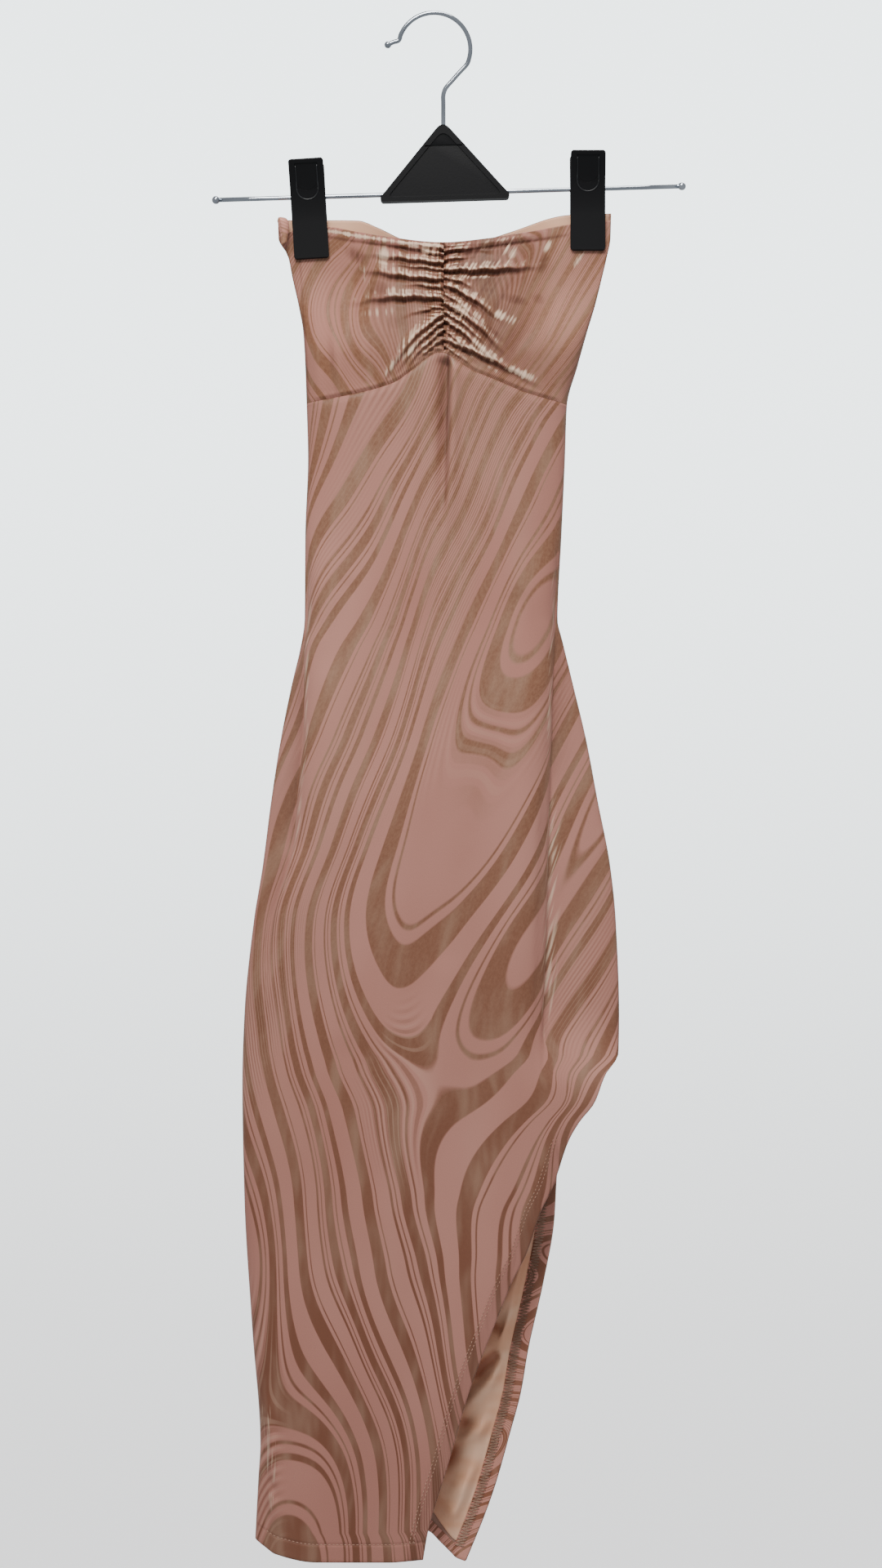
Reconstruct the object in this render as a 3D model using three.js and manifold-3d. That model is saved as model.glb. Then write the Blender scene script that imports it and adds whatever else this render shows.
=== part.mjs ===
// A strapless velvet dress with a slit at one side, held by two clips on a hanger.
// Millimetres, +Z up. The front faces -Y and +X is the right side of a front view.
// The origin is the top of the inside of the hook, where a rail carries the hanger.

import * as THREE from 'three';
import { mergeVertices } from 'three/addons/utils/BufferGeometryUtils.js';
import Module from 'manifold-3d';

const wasm = await Module();
wasm.setup();

// Cloth and clearances
const WALL = 1.2;
const LINING = 1.0;
const GAP = 0.3;
const SEAM_Y = 0.17;
const EDGE_ROLL = 1.7;
const LINING_ROOM = 0.3;
const BACK_NECK_STRIP = 26;
const LINING_DROP = 0.6;
const SLIT_FACING = 13.5;
const HEM_FACING = 9;
const LINING_BEHIND_SLIT = 25;
const WING_SHARE = 0.35;
const FOLD_ROLL = 24;
const SECTION_POWER = 2.6;

// Places on the cloth
const MIDDLE_X = 7;
const SLIT_TOP_Z = -757;
const SLIT_OPEN_Z = -812;
const LINING_TOP_Z = -803;
const FACING_TOP_Z = -834;

// The two side seams, as the front view shows them
const OUTLINE = [
  { z: -150, left: -117, right: 132 },
  { z: -167, left: -116.5, right: 131.5 },
  { z: -180, left: -109.5, right: 129 },
  { z: -197, left: -106, right: 125 },
  { z: -217, left: -101.5, right: 120 },
  { z: -237, left: -98, right: 114 },
  { z: -262, left: -96.5, right: 107 },
  { z: -292, left: -95.5, right: 99 },
  { z: -332, left: -94.5, right: 97.5 },
  { z: -387, left: -96.5, right: 95 },
  { z: -452, left: -97, right: 92 },
  { z: -467, left: -99, right: 95.5 },
  { z: -502, left: -107, right: 104 },
  { z: -542, left: -115, right: 113.5 },
  { z: -587, left: -122, right: 122 },
  { z: -637, left: -128.5, right: 131.5 },
  { z: -677, left: -135, right: 135.5 },
  { z: -747, left: -142, right: 138 },
  { z: -797, left: -143.5, right: 137 },
  { z: -882, left: -142, right: 136 },
  { z: -982, left: -136, right: 134 },
  { z: -1067, left: -130, right: 131 },
  { z: -1092, left: -131.5, right: 131 },
  { z: -1160, left: -135, right: 131 },
];

// The cut edges of the slit, each from the slit's top to its own hem
const SLIT_FRONT = [
  { z: -757, x: 138 },
  { z: -775, x: 137 },
  { z: -790, x: 126.5 },
  { z: -811, x: 118 },
  { z: -825, x: 107 },
  { z: -839, x: 99 },
  { z: -874, x: 87 },
  { z: -891, x: 78.5 },
  { z: -922, x: 68 },
  { z: -942, x: 58 },
  { z: -975, x: 44.5 },
  { z: -1025, x: 25.5 },
  { z: -1077, x: 10.5 },
  { z: -1131, x: -5.5 },
  { z: -1155, x: -9.5 },
];
const SLIT_BACK = [
  { z: -757, x: 138 },
  { z: -766, x: 134 },
  { z: -790, x: 118.5 },
  { z: -825, x: 100.5 },
  { z: -849, x: 94 },
  { z: -867, x: 91.7 },
  { z: -903, x: 89.5 },
  { z: -948, x: 81.5 },
  { z: -999, x: 70 },
  { z: -1031, x: 64.5 },
  { z: -1059, x: 57 },
  { z: -1098, x: 46 },
  { z: -1121, x: 38 },
  { z: -1160, x: 22 },
];

// Top and bottom edges of the cloth, and the seam under the bust
const NECK_FRONT = [
  { x: -117, z: -166 },
  { x: -105, z: -162 },
  { x: -79, z: -159 },
  { x: -57, z: -163 },
  { x: -33, z: -167.5 },
  { x: 6, z: -171.5 },
  { x: 39, z: -168.5 },
  { x: 63, z: -164.5 },
  { x: 101, z: -157 },
  { x: 132, z: -154 },
];
const NECK_BACK = [
  { x: -117, z: -153.5 },
  { x: -57, z: -153.5 },
  { x: -43, z: -158 },
  { x: -19, z: -168.5 },
  { x: 8, z: -174 },
  { x: 34, z: -168.5 },
  { x: 58, z: -161 },
  { x: 101, z: -149.5 },
  { x: 132, z: -148.5 },
];
const UNDER_BUST = [
  { x: -96, z: -291 },
  { x: -56, z: -284 },
  { x: -31, z: -277 },
  { x: -16, z: -267 },
  { x: -6, z: -259 },
  { x: 3, z: -254.5 },
  { x: 8, z: -255 },
  { x: 27, z: -267 },
  { x: 44, z: -274 },
  { x: 69, z: -284 },
  { x: 99, z: -292 },
];
const HEM_FRONT = [
  { x: -135, z: -1136 },
  { x: -127, z: -1141 },
  { x: -118, z: -1146.5 },
  { x: -88, z: -1152 },
  { x: -34, z: -1152 },
  { x: -9, z: -1150 },
];
const HEM_BACK = [
  { x: -134, z: -1128.5 },
  { x: -110, z: -1130.5 },
  { x: -18, z: -1130.5 },
  { x: -4, z: -1134.5 },
  { x: 5, z: -1143 },
  { x: 18, z: -1154.5 },
  { x: 27, z: -1157.5 },
];

// How far the cloth stands from the middle plane, and how sharply the front's
// side folds stand out from the parts of the skirt that fall back beside them
const DEPTH = [
  { z: -150, front: 8, back: 6, foldLeft: 0, foldRight: 0 },
  { z: -200, front: 15, back: 10, foldLeft: 0, foldRight: 0 },
  { z: -260, front: 23, back: 13, foldLeft: 0, foldRight: 0 },
  { z: -330, front: 19, back: 13, foldLeft: 0, foldRight: 0 },
  { z: -385, front: 18, back: 13, foldLeft: 0, foldRight: 0 },
  { z: -440, front: 19, back: 13, foldLeft: 1, foldRight: 1 },
  { z: -600, front: 26, back: 17, foldLeft: 1, foldRight: 1 },
  { z: -660, front: 26, back: 17, foldLeft: 0.7, foldRight: 1 },
  { z: -740, front: 25, back: 17, foldLeft: 0, foldRight: 0.8 },
  { z: -800, front: 24, back: 16, foldLeft: 0, foldRight: 0 },
  { z: -1000, front: 20, back: 13, foldLeft: 0, foldRight: 0 },
  { z: -1160, front: 17, back: 11, foldLeft: 0, foldRight: 0 },
];
const FOLD_EDGE = [
  { z: -440, left: -95.5, right: 91 },
  { z: -483, left: -97.5, right: 89 },
  { z: -535, left: -97.5, right: 87.5 },
  { z: -575, left: -101.5, right: 86 },
  { z: -617, left: -105, right: 85 },
  { z: -675, left: -120, right: 83.5 },
  { z: -774, left: -130, right: 80 },
];

// Gathers that run out from the seam between the cups
const GATHERS = [
  { seamZ: -184, x: -33, z: -174, sag: 0, width: 4, height: 2.6 },
  { seamZ: -194, x: -43, z: -185, sag: -1, width: 4, height: 3.6 },
  { seamZ: -201, x: -53, z: -190, sag: -2, width: 4, height: 2.6 },
  { seamZ: -217, x: -58, z: -216, sag: 2, width: 5, height: 3.4 },
  { seamZ: -225, x: -34, z: -274, sag: 5, width: 4.5, height: 3.4 },
  { seamZ: -235, x: -26, z: -269, sag: 3, width: 3.6, height: 2.6 },
  { seamZ: -243, x: -15, z: -262, sag: 1, width: 3, height: 2 },
  { seamZ: -180, x: 37, z: -180, sag: 1, width: 4.5, height: 2.4 },
  { seamZ: -195, x: 80, z: -191, sag: -1, width: 5, height: 3.8 },
  { seamZ: -203, x: 46, z: -226, sag: 2, width: 4.5, height: 2.8 },
  { seamZ: -219, x: 48, z: -253, sag: 3, width: 5, height: 3.8 },
  { seamZ: -229, x: 38, z: -256, sag: 2, width: 4, height: 2.6 },
  { seamZ: -246, x: 71, z: -275, sag: 1, width: 4.5, height: 3 },
];
const FINE_GATHERS = 12;
const FINE_GATHER_HEIGHT = 0.9;
const FINE_GATHER_REACH = 9;
const SEAM_DIP = 2.6;
const SEAM_DIP_WIDTH = 3.5;
const UNDER_BUST_DIP = 0.9;
const UNDER_BUST_DIP_WIDTH = 4;

// Soft folds, each a straight crest (or a trough where the height is negative)
const FRONT_FOLDS = [
  { x0: 7.5, z0: -250, x1: 0, z1: -405, width: 5, height: -4.2 },
  { x0: 16, z0: -256, x1: 8, z1: -400, width: 7, height: 2.4 },
  { x0: -93, z0: -190, x1: -87, z1: -305, width: 5, height: 1.6 },
  { x0: -82, z0: -186, x1: -58, z1: -284, width: 8, height: -1.8 },
  { x0: 112, z0: -184, x1: 76, z1: -194, width: 5, height: 2.6 },
  { x0: 100, z0: -196, x1: 52, z1: -262, width: 7, height: -1.6 },
  { x0: 85, z0: -620, x1: 80, z1: -790, width: 6, height: 2 },
  { x0: -105, z0: -617, x1: -130, z1: -760, width: 11, height: 3 },
  { x0: -30, z0: -560, x1: -46, z1: -1160, width: 24, height: 2.6 },
  { x0: 40, z0: -500, x1: 26, z1: -960, width: 20, height: -2.2 },
  { x0: -84, z0: -690, x1: -96, z1: -1165, width: 17, height: -2.6 },
  { x0: -126, z0: -1040, x1: -122, z1: -1130, width: 5, height: 2.2 },
];
const BACK_FOLDS = [
  { x0: 4, z0: -180, x1: 8, z1: -430, width: 14, height: -3 },
  { x0: -40, z0: -190, x1: -58, z1: -400, width: 12, height: 2 },
  { x0: 62, z0: -190, x1: 52, z1: -380, width: 12, height: 2.2 },
  { x0: 56, z0: -430, x1: 62, z1: -770, width: 18, height: 3 },
  { x0: 0, z0: -500, x1: -20, z1: -860, width: 20, height: -3 },
  { x0: -45, z0: -470, x1: -78, z1: -1150, width: 18, height: 3.4 },
  { x0: -98, z0: -560, x1: -110, z1: -1140, width: 12, height: -2.6 },
];

// Hanger
const BAR = { leftX: -163.2, leftZ: -138.2, rightX: 184.8, rightZ: -127.9, radius: 1.7, ballRadius: 3 };
const WIRE_RADIUS = 1.7;
const HOOK_ARC = { x: -0.3, radius: 27.1, fromAngle: 166, toAngle: -24 };
const HOOK_TIP = { x: -34.8, z: -22.3, radius: 2.6 };
const HOOK_START = { x: -31, z: -20.4 };
const HOOK_NECK = [
  { x: 19, z: -42.5 },
  { x: 12.6, z: -49.7 },
  { x: 8.2, z: -55 },
  { x: 6.6, z: -60 },
  { x: 6.6, z: -66 },
  { x: 6.6, z: -85 },
  { x: 6.6, z: -101 },
];
const BLOCK = {
  x: 7.7,
  halfWidth: 51,
  below: 5.8,
  top: 50.6,
  apexOver: 3,
  depth: 12,
  corner: 5,
  apex: 8,
  rim: 3.2,
  recess: 0.8,
};
const BLOCK_GROOVE = { below: 10.5, halfWidth: 14, height: 1, depth: 0.5 };
const CLIPS = [
  { name: 'clip_left', x: -94.3, lean: -3.5 },
  { name: 'clip_right', x: 114.4, lean: 0 },
];
const CLIP_WIDTH = 26;
const CLIP_RECESS = { width: 17, height: 21, depth: 0.8, belowTop: 2.6 };
// Side profile of a jaw from its grip up and over its lever. Where from is 'grip' the depth
// is counted from the jaw's inner face at the grip, and elsewhere from the middle plane.
const JAW_PROFILE = [
  { from: 'grip', depth: 0, height: -45.6 },
  { from: 'grip', depth: 1, height: -46.6 },
  { from: 'grip', depth: 2.1, height: -46.6 },
  { from: 'grip', depth: 2.9, height: -45.8 },
  { from: 'grip', depth: 3.8, height: -20 },
  { from: 'middle', depth: 7, height: -3 },
  { from: 'middle', depth: 7.3, height: 2 },
  { from: 'middle', depth: 15.5, height: 26.2 },
  { from: 'middle', depth: 14.9, height: 27 },
  { from: 'middle', depth: 13.3, height: 27.2 },
  { from: 'middle', depth: 7.2, height: 11 },
  { from: 'middle', depth: 2.5, height: 5 },
  { from: 'middle', depth: 0.15, height: 3 },
  { from: 'middle', depth: 0.15, height: -3 },
  { from: 'middle', depth: 2.6, height: -6 },
  { from: 'grip', depth: 0.9, height: -20 },
  { from: 'grip', depth: 0, height: -33 },
];
const LEVER = { startDepth: 7.3, startHeight: 2, endDepth: 15.5, endHeight: 26.2 };
const SPRING_POCKET = { width: 7, room: 1.1, slotRoom: 1.9, slotHeight: 10 };
const CLIP_GRIP = { x: 23, inside: 62, outside: 32, z: -190, below: -256 };
const SPRING = { wire: 0.55, radius: 2.6, pitch: 1.5, turns: 2.5, legTop: 18, legReach: 8 };

// Mesh fineness
const ROLL_STEPS = 3;
const WING_STEPS = 2;
const FRONT_STEPS = 9;
const BUST_ROWS = 40;
const BACK_STEPS = 6;
const SKIRT_ROW_HEIGHT = 42;
const SLIT_ROW_HEIGHT = 13;
const ROLL_SHARE = 0.14;
const WING_SHARE_OF_COLUMNS = 0.3;

// Finishes
const FINISHES = {
  velvet: { color: 0x9c7565, roughness: 0.75, metalness: 0 },
  velvetSkirt: { color: 0x916b5a, roughness: 0.75, metalness: 0 },
  velvetBack: { color: 0x8c6656, roughness: 0.75, metalness: 0 },
  lining: { color: 0xcdb8a9, roughness: 0.4, metalness: 0 },
  facing: { color: 0x856a58, roughness: 0.8, metalness: 0 },
  chrome: { color: 0xd5d9dc, roughness: 0.12, metalness: 1 },
  plastic: { color: 0x1b1c1e, roughness: 0.45, metalness: 0 },
  springSteel: { color: 0x9a9da0, roughness: 0.3, metalness: 1 },
};

const dress = new THREE.Group();

function addPiece(name, geometry, finish) {
  const piece = new THREE.Mesh(geometry, new THREE.MeshStandardMaterial(FINISHES[finish]));
  piece.name = name;
  dress.add(piece);
}

// Small numeric helpers
const { clamp, lerp, degToRad } = THREE.MathUtils;

function smooth(from, to, value) {
  const share = clamp((value - from) / (to - from), 0, 1);
  return share * share * (3 - 2 * share);
}

// A curve through a table's rows that stays between neighbouring rows
function curveThrough(rows, along, value) {
  const points = rows.map((row) => ({ at: row[along], value: row[value] })).sort((a, b) => a.at - b.at);
  const rise = (i) => (points[i + 1].value - points[i].value) / (points[i + 1].at - points[i].at);
  const slopes = points.map((point, i) => {
    if (i === 0) return rise(0);
    if (i === points.length - 1) return rise(i - 1);
    const before = rise(i - 1);
    const after = rise(i);
    return before * after <= 0 ? 0 : (2 * before * after) / (before + after);
  });
  return (at) => {
    const last = points.length - 1;
    if (at <= points[0].at) return points[0].value;
    if (at >= points[last].at) return points[last].value;
    let i = 0;
    while (at > points[i + 1].at) i += 1;
    const span = points[i + 1].at - points[i].at;
    const t = (at - points[i].at) / span;
    const u = 1 - t;
    return points[i].value * u * u * (1 + 2 * t) + points[i + 1].value * t * t * (1 + 2 * u)
      + span * t * u * (slopes[i] * u - slopes[i + 1] * t);
  };
}

const outlineLeft = curveThrough(OUTLINE, 'z', 'left');
const outlineRight = curveThrough(OUTLINE, 'z', 'right');
const slitFront = curveThrough(SLIT_FRONT, 'z', 'x');
const slitBack = curveThrough(SLIT_BACK, 'z', 'x');
const neckFront = curveThrough(NECK_FRONT, 'x', 'z');
const neckBack = curveThrough(NECK_BACK, 'x', 'z');
const underBust = curveThrough(UNDER_BUST, 'x', 'z');
const hemFront = curveThrough(HEM_FRONT, 'x', 'z');
const hemBack = curveThrough(HEM_BACK, 'x', 'z');
const depthFront = curveThrough(DEPTH, 'z', 'front');
const depthBack = curveThrough(DEPTH, 'z', 'back');
const foldStrengthLeft = curveThrough(DEPTH, 'z', 'foldLeft');
const foldStrengthRight = curveThrough(DEPTH, 'z', 'foldRight');
const foldEdgeLeft = curveThrough(FOLD_EDGE, 'z', 'left');
const foldEdgeRight = curveThrough(FOLD_EDGE, 'z', 'right');

const slitOpening = (z) => smooth(SLIT_TOP_Z, SLIT_OPEN_Z, z);

// A quarter circle's rise from 0 to 1, upright at its start
function quarter(share) {
  const rest = 1 - clamp(share, 0, 1);
  return Math.sqrt(1 - rest * rest);
}

// The section of hung cloth, flat in the middle and turning back at the side seam
function section(share) {
  return (1 - clamp(share, 0, 1) ** SECTION_POWER) ** (1 / SECTION_POWER);
}

// How firmly the clips press front and back together, 1 under a clip
function clipGrip(x, z) {
  const grips = CLIPS.map((clip) => {
    const outward = (x - clip.x) * Math.sign(clip.x);
    const reach = outward > 0 ? CLIP_GRIP.outside : CLIP_GRIP.inside;
    return 1 - smooth(CLIP_GRIP.x, reach, Math.abs(outward));
  });
  return Math.max(...grips) * (1 - smooth(CLIP_GRIP.z, CLIP_GRIP.below, z));
}

function foldHeight(folds, x, z) {
  let height = 0;
  for (const fold of folds) {
    const dx = fold.x1 - fold.x0;
    const dz = fold.z1 - fold.z0;
    const share = clamp(((x - fold.x0) * dx + (z - fold.z0) * dz) / (dx * dx + dz * dz), 0, 1);
    const off = Math.hypot(x - fold.x0 - share * dx, z - fold.z0 - share * dz);
    const fade = smooth(-0.05, 0.12, share) * (1 - smooth(0.7, 1.05, share));
    height += fold.height * fade * Math.exp(-((off / fold.width) ** 2));
  }
  return height;
}

function gatherHeight(x, z) {
  const side = x < MIDDLE_X ? -1 : 1;
  const away = Math.abs(x - MIDDLE_X);
  const top = neckFront(MIDDLE_X);
  const bottom = underBust(MIDDLE_X);
  let height = 0;
  for (const gather of GATHERS) {
    const reach = gather.x - MIDDLE_X;
    if (Math.sign(reach) !== side) continue;
    const share = away / Math.abs(reach);
    const crest = lerp(gather.seamZ, gather.z, share) + gather.sag * 4 * share * (1 - share);
    const slope = (gather.z - gather.seamZ + gather.sag * 4 * (1 - 2 * share)) / reach;
    const off = (z - crest) / Math.hypot(1, slope);
    const width = gather.width * lerp(0.5, 1, Math.min(share, 1));
    const fade = 1 - smooth(0.5, 1.15, share);
    height += gather.height * fade * Math.exp(-((off / width) ** 2));
  }
  const share = (z - top) / (bottom - top);
  const inside = smooth(0, 3, neckFront(x) - z) * smooth(0, 4, z - underBust(x));
  const wave = Math.cos(2 * Math.PI * (FINE_GATHERS * share + 0.25 * side + 0.3 * Math.sin(9 * share)));
  height += FINE_GATHER_HEIGHT * wave * Math.exp(-((away / FINE_GATHER_REACH) ** 2));
  height -= SEAM_DIP * Math.exp(-((away / SEAM_DIP_WIDTH) ** 2));
  return height * inside;
}

function frontRelief(x, z) {
  const seamOff = (z - underBust(x)) / UNDER_BUST_DIP_WIDTH;
  return gatherHeight(x, z) + foldHeight(FRONT_FOLDS, x, z) - UNDER_BUST_DIP * Math.exp(-(seamOff * seamOff));
}

// The two halves of the dress. Each knows its edges, its depth and which way it faces.
const FRONT = {
  facing: -1,
  right: (z) => Math.min(outlineRight(z), slitFront(z)),
  foldIn(side, z) {
    const into = side < 0 ? foldEdgeLeft(z) - outlineLeft(z) : outlineRight(z) - foldEdgeRight(z);
    return Math.max(into, EDGE_ROLL + 0.6);
  },
  foldStrength: (side, z) => (side < 0 ? foldStrengthLeft(z) : foldStrengthRight(z)),
  depth: depthFront,
  relief: frontRelief,
  room: 0,
};
const BACK = {
  facing: 1,
  right: (z) => Math.min(outlineRight(z), slitBack(z)),
  foldIn: () => EDGE_ROLL + 9,
  foldStrength: () => 0,
  depth: depthBack,
  relief: (x, z) => foldHeight(BACK_FOLDS, x, z),
  room: LINING_ROOM,
};

// The middle column follows the seam between the cups, then drifts to the half's own middle
function middleAt(half, z) {
  const between = (outlineLeft(z) + half.right(z)) / 2;
  return lerp(MIDDLE_X, between, smooth(-420, -700, z));
}

// x of a column, from -1 at the left seam through 0 at the middle to 1 at the right edge
function acrossAt(half, column, z) {
  const side = column < 0 ? -1 : 1;
  const edge = side < 0 ? outlineLeft(z) : half.right(z);
  const middle = middleAt(half, z);
  const width = Math.abs(middle - edge);
  const share = 1 - Math.abs(column);
  const foldIn = half.foldIn(side, z);
  let into = EDGE_ROLL * (1 - Math.cos((Math.PI / 2) * Math.min(share / ROLL_SHARE, 1)));
  if (share > ROLL_SHARE) {
    const wing = (share - ROLL_SHARE) / (WING_SHARE_OF_COLUMNS - ROLL_SHARE);
    into = lerp(EDGE_ROLL, foldIn, Math.min(wing, 1));
  }
  if (share > WING_SHARE_OF_COLUMNS) {
    const inner = (share - WING_SHARE_OF_COLUMNS) / (1 - WING_SHARE_OF_COLUMNS);
    into = lerp(foldIn, width, inner * inner * (3 - 2 * inner));
  }
  const free = side > 0 ? slitOpening(z) : 0;
  return edge - side * lerp(into, width * share, free);
}

// How far the cloth's outer face stands from the middle plane
function standOff(half, x, z) {
  const left = outlineLeft(z);
  const right = outlineRight(z);
  const middle = middleAt(half, z);
  const side = x < middle ? -1 : 1;
  const into = Math.max(side < 0 ? x - left : right - x, 0);
  const width = side < 0 ? middle - left : right - middle;
  const free = side > 0 ? slitOpening(z) : 0;
  const roll = EDGE_ROLL * lerp(quarter(into / EDGE_ROLL), 1, free);
  const sweep = lerp(section(1 - into / width), 1, free);
  const fold = half.foldStrength(side, z) * (1 - WING_SHARE);
  const step = quarter((into - half.foldIn(side, z)) / FOLD_ROLL);
  const shape = sweep * (1 - fold) + step * fold;
  const loose = 1 - clipGrip(x, z);
  const near = lerp(smooth(1, 14, into), 1, free);
  const room = half.room * smooth(0, 5, into) * smooth(-260, -190, z);
  return SEAM_Y + roll + room + loose * (half.depth(z) * shape + near * half.relief(x, z));
}

function facePoint(half, column, z) {
  const x = acrossAt(half, column, z);
  return new THREE.Vector3(x, half.facing * standOff(half, x, z), z);
}

// Outer face point and outward direction at a column and height
function faceAt(half, column, z) {
  const step = 1e-4;
  const before = facePoint(half, Math.max(column - step, -1), z);
  const after = facePoint(half, Math.min(column + step, 1), z);
  const above = facePoint(half, column, z + 0.05);
  const below = facePoint(half, column, z - 0.05);
  const outward = new THREE.Vector3().crossVectors(after.sub(before), above.sub(below)).normalize();
  if (half.facing > 0) outward.negate();
  return { point: facePoint(half, column, z), outward };
}

// The column that passes through x at a height
function columnAt(half, x, z) {
  let low = -1;
  let high = 1;
  for (let i = 0; i < 40; i += 1) {
    const middle = (low + high) / 2;
    if (acrossAt(half, middle, z) < x) low = middle;
    else high = middle;
  }
  return (low + high) / 2;
}

// Closed wall between two grids of points, rows from top to bottom and columns to +X
function wallBetween(outer, inner, facing) {
  const rows = outer.length;
  const columns = outer[0].length;
  const points = [...outer.flat(), ...inner.flat()];
  const positions = points.flatMap((point) => [point.x, point.y, point.z]);
  const at = (layer, i, j) => layer * rows * columns + i * columns + j;
  const triangles = [];
  const quad = (a, b, c, d) => {
    if (facing < 0) triangles.push(a, b, c, a, c, d);
    else triangles.push(a, c, b, a, d, c);
  };
  for (let i = 0; i < rows - 1; i += 1) {
    for (let j = 0; j < columns - 1; j += 1) {
      quad(at(0, i, j), at(0, i + 1, j), at(0, i + 1, j + 1), at(0, i, j + 1));
      quad(at(1, i, j), at(1, i, j + 1), at(1, i + 1, j + 1), at(1, i + 1, j));
    }
  }
  for (let j = 0; j < columns - 1; j += 1) {
    quad(at(0, 0, j), at(0, 0, j + 1), at(1, 0, j + 1), at(1, 0, j));
    quad(at(0, rows - 1, j + 1), at(0, rows - 1, j), at(1, rows - 1, j), at(1, rows - 1, j + 1));
  }
  for (let i = 0; i < rows - 1; i += 1) {
    quad(at(0, i + 1, 0), at(0, i, 0), at(1, i, 0), at(1, i + 1, 0));
    const last = columns - 1;
    quad(at(0, i, last), at(0, i + 1, last), at(1, i + 1, last), at(1, i, last));
  }
  const geometry = new THREE.BufferGeometry();
  geometry.setAttribute('position', new THREE.Float32BufferAttribute(positions, 3));
  geometry.setIndex(triangles);
  geometry.computeVertexNormals();
  return geometry;
}

// Cloth wall over a grid of places. place(row, column) gives the half's column and height.
function clothWall(half, rows, columns, place, inset = 0, wall = WALL) {
  const outer = [];
  const inner = [];
  for (const row of rows) {
    const faces = columns.map((column) => {
      const spot = place(row, column);
      return faceAt(half, spot.column, spot.z);
    });
    outer.push(faces.map((face) => face.point.clone().addScaledVector(face.outward, -inset)));
    inner.push(faces.map((face) => face.point.clone().addScaledVector(face.outward, -inset - wall)));
  }
  return wallBetween(outer, inner, half.facing);
}

function evenly(count, from = 0, to = 1) {
  return Array.from({ length: count + 1 }, (_, i) => lerp(from, to, i / count));
}

// Columns of one side, from its edge to the middle, close together where the edge turns
function sideColumns(innerSteps, side) {
  const shares = [
    ...evenly(ROLL_STEPS, 0, ROLL_SHARE),
    ...evenly(WING_STEPS, ROLL_SHARE, WING_SHARE_OF_COLUMNS).slice(1),
    ...evenly(innerSteps, WING_SHARE_OF_COLUMNS, 1).slice(1),
  ];
  const columns = shares.map((share) => side * (1 - share));
  return side < 0 ? columns : columns.reverse();
}

function fullColumns(innerSteps) {
  return [...sideColumns(innerSteps, -1), ...sideColumns(innerSteps, 1).slice(1)];
}

// Height on a column at a share of the way from one edge curve to another
function heightBetween(half, column, top, bottom, share) {
  let z = -600;
  for (let i = 0; i < 12; i += 1) {
    const x = acrossAt(half, column, z);
    z = lerp(top(x), bottom(x), share);
  }
  return z;
}

// Shares of the skirt's height, with closer rows round the top of the slit
function skirtRows(top, bottom) {
  const shares = [0];
  let z = top;
  while (z > bottom + SKIRT_ROW_HEIGHT * 0.7) {
    const nearSlit = z < SLIT_TOP_Z + 25 && z > SLIT_OPEN_Z - 25;
    z = Math.max(z - (nearSlit ? SLIT_ROW_HEIGHT : SKIRT_ROW_HEIGHT), bottom);
    shares.push((z - top) / (bottom - top));
  }
  if (shares[shares.length - 1] < 1) shares.push(1);
  return shares;
}

function makeBust(name, side) {
  const bottom = (x) => underBust(x) + GAP / 2;
  const place = (row, column) => {
    const z = heightBetween(FRONT, column, neckFront, bottom, row);
    const seam = columnAt(FRONT, MIDDLE_X + (side * GAP) / 2, z);
    return { column: column === 0 ? seam : column, z };
  };
  addPiece(name, clothWall(FRONT, evenly(BUST_ROWS), sideColumns(FRONT_STEPS, side), place), 'velvet');
}

function makeFrontSkirt() {
  const top = (x) => underBust(x) - GAP / 2;
  const rows = skirtRows(top(99), hemFront(0));
  const place = (row, column) => ({ column, z: heightBetween(FRONT, column, top, hemFront, row) });
  addPiece('skirt_front', clothWall(FRONT, rows, fullColumns(FRONT_STEPS), place), 'velvetSkirt');
}

// The back and the strip of lining inside its neckline share their rows and columns
function makeBack() {
  const top = neckBack(99);
  const bottom = hemBack(20);
  const strip = evenly(3, 0, BACK_NECK_STRIP / (top - bottom));
  const rows = [...strip, ...skirtRows(top, bottom).filter((share) => share > strip[3] * 1.3)];
  const columns = fullColumns(BACK_STEPS);
  const place = (row, column) => ({ column, z: heightBetween(BACK, column, neckBack, hemBack, row) });
  addPiece('back_panel', clothWall(BACK, rows, columns, place), 'velvetBack');

  const liningRows = [LINING_DROP / (top - bottom), ...strip.slice(1)];
  const liningColumns = columns.filter((column) => 1 - Math.abs(column) > ROLL_SHARE + 0.01);
  const lining = clothWall(BACK, liningRows, liningColumns, place, WALL + GAP, LINING);
  addPiece('back_lining_top', lining, 'lining');
}

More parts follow.
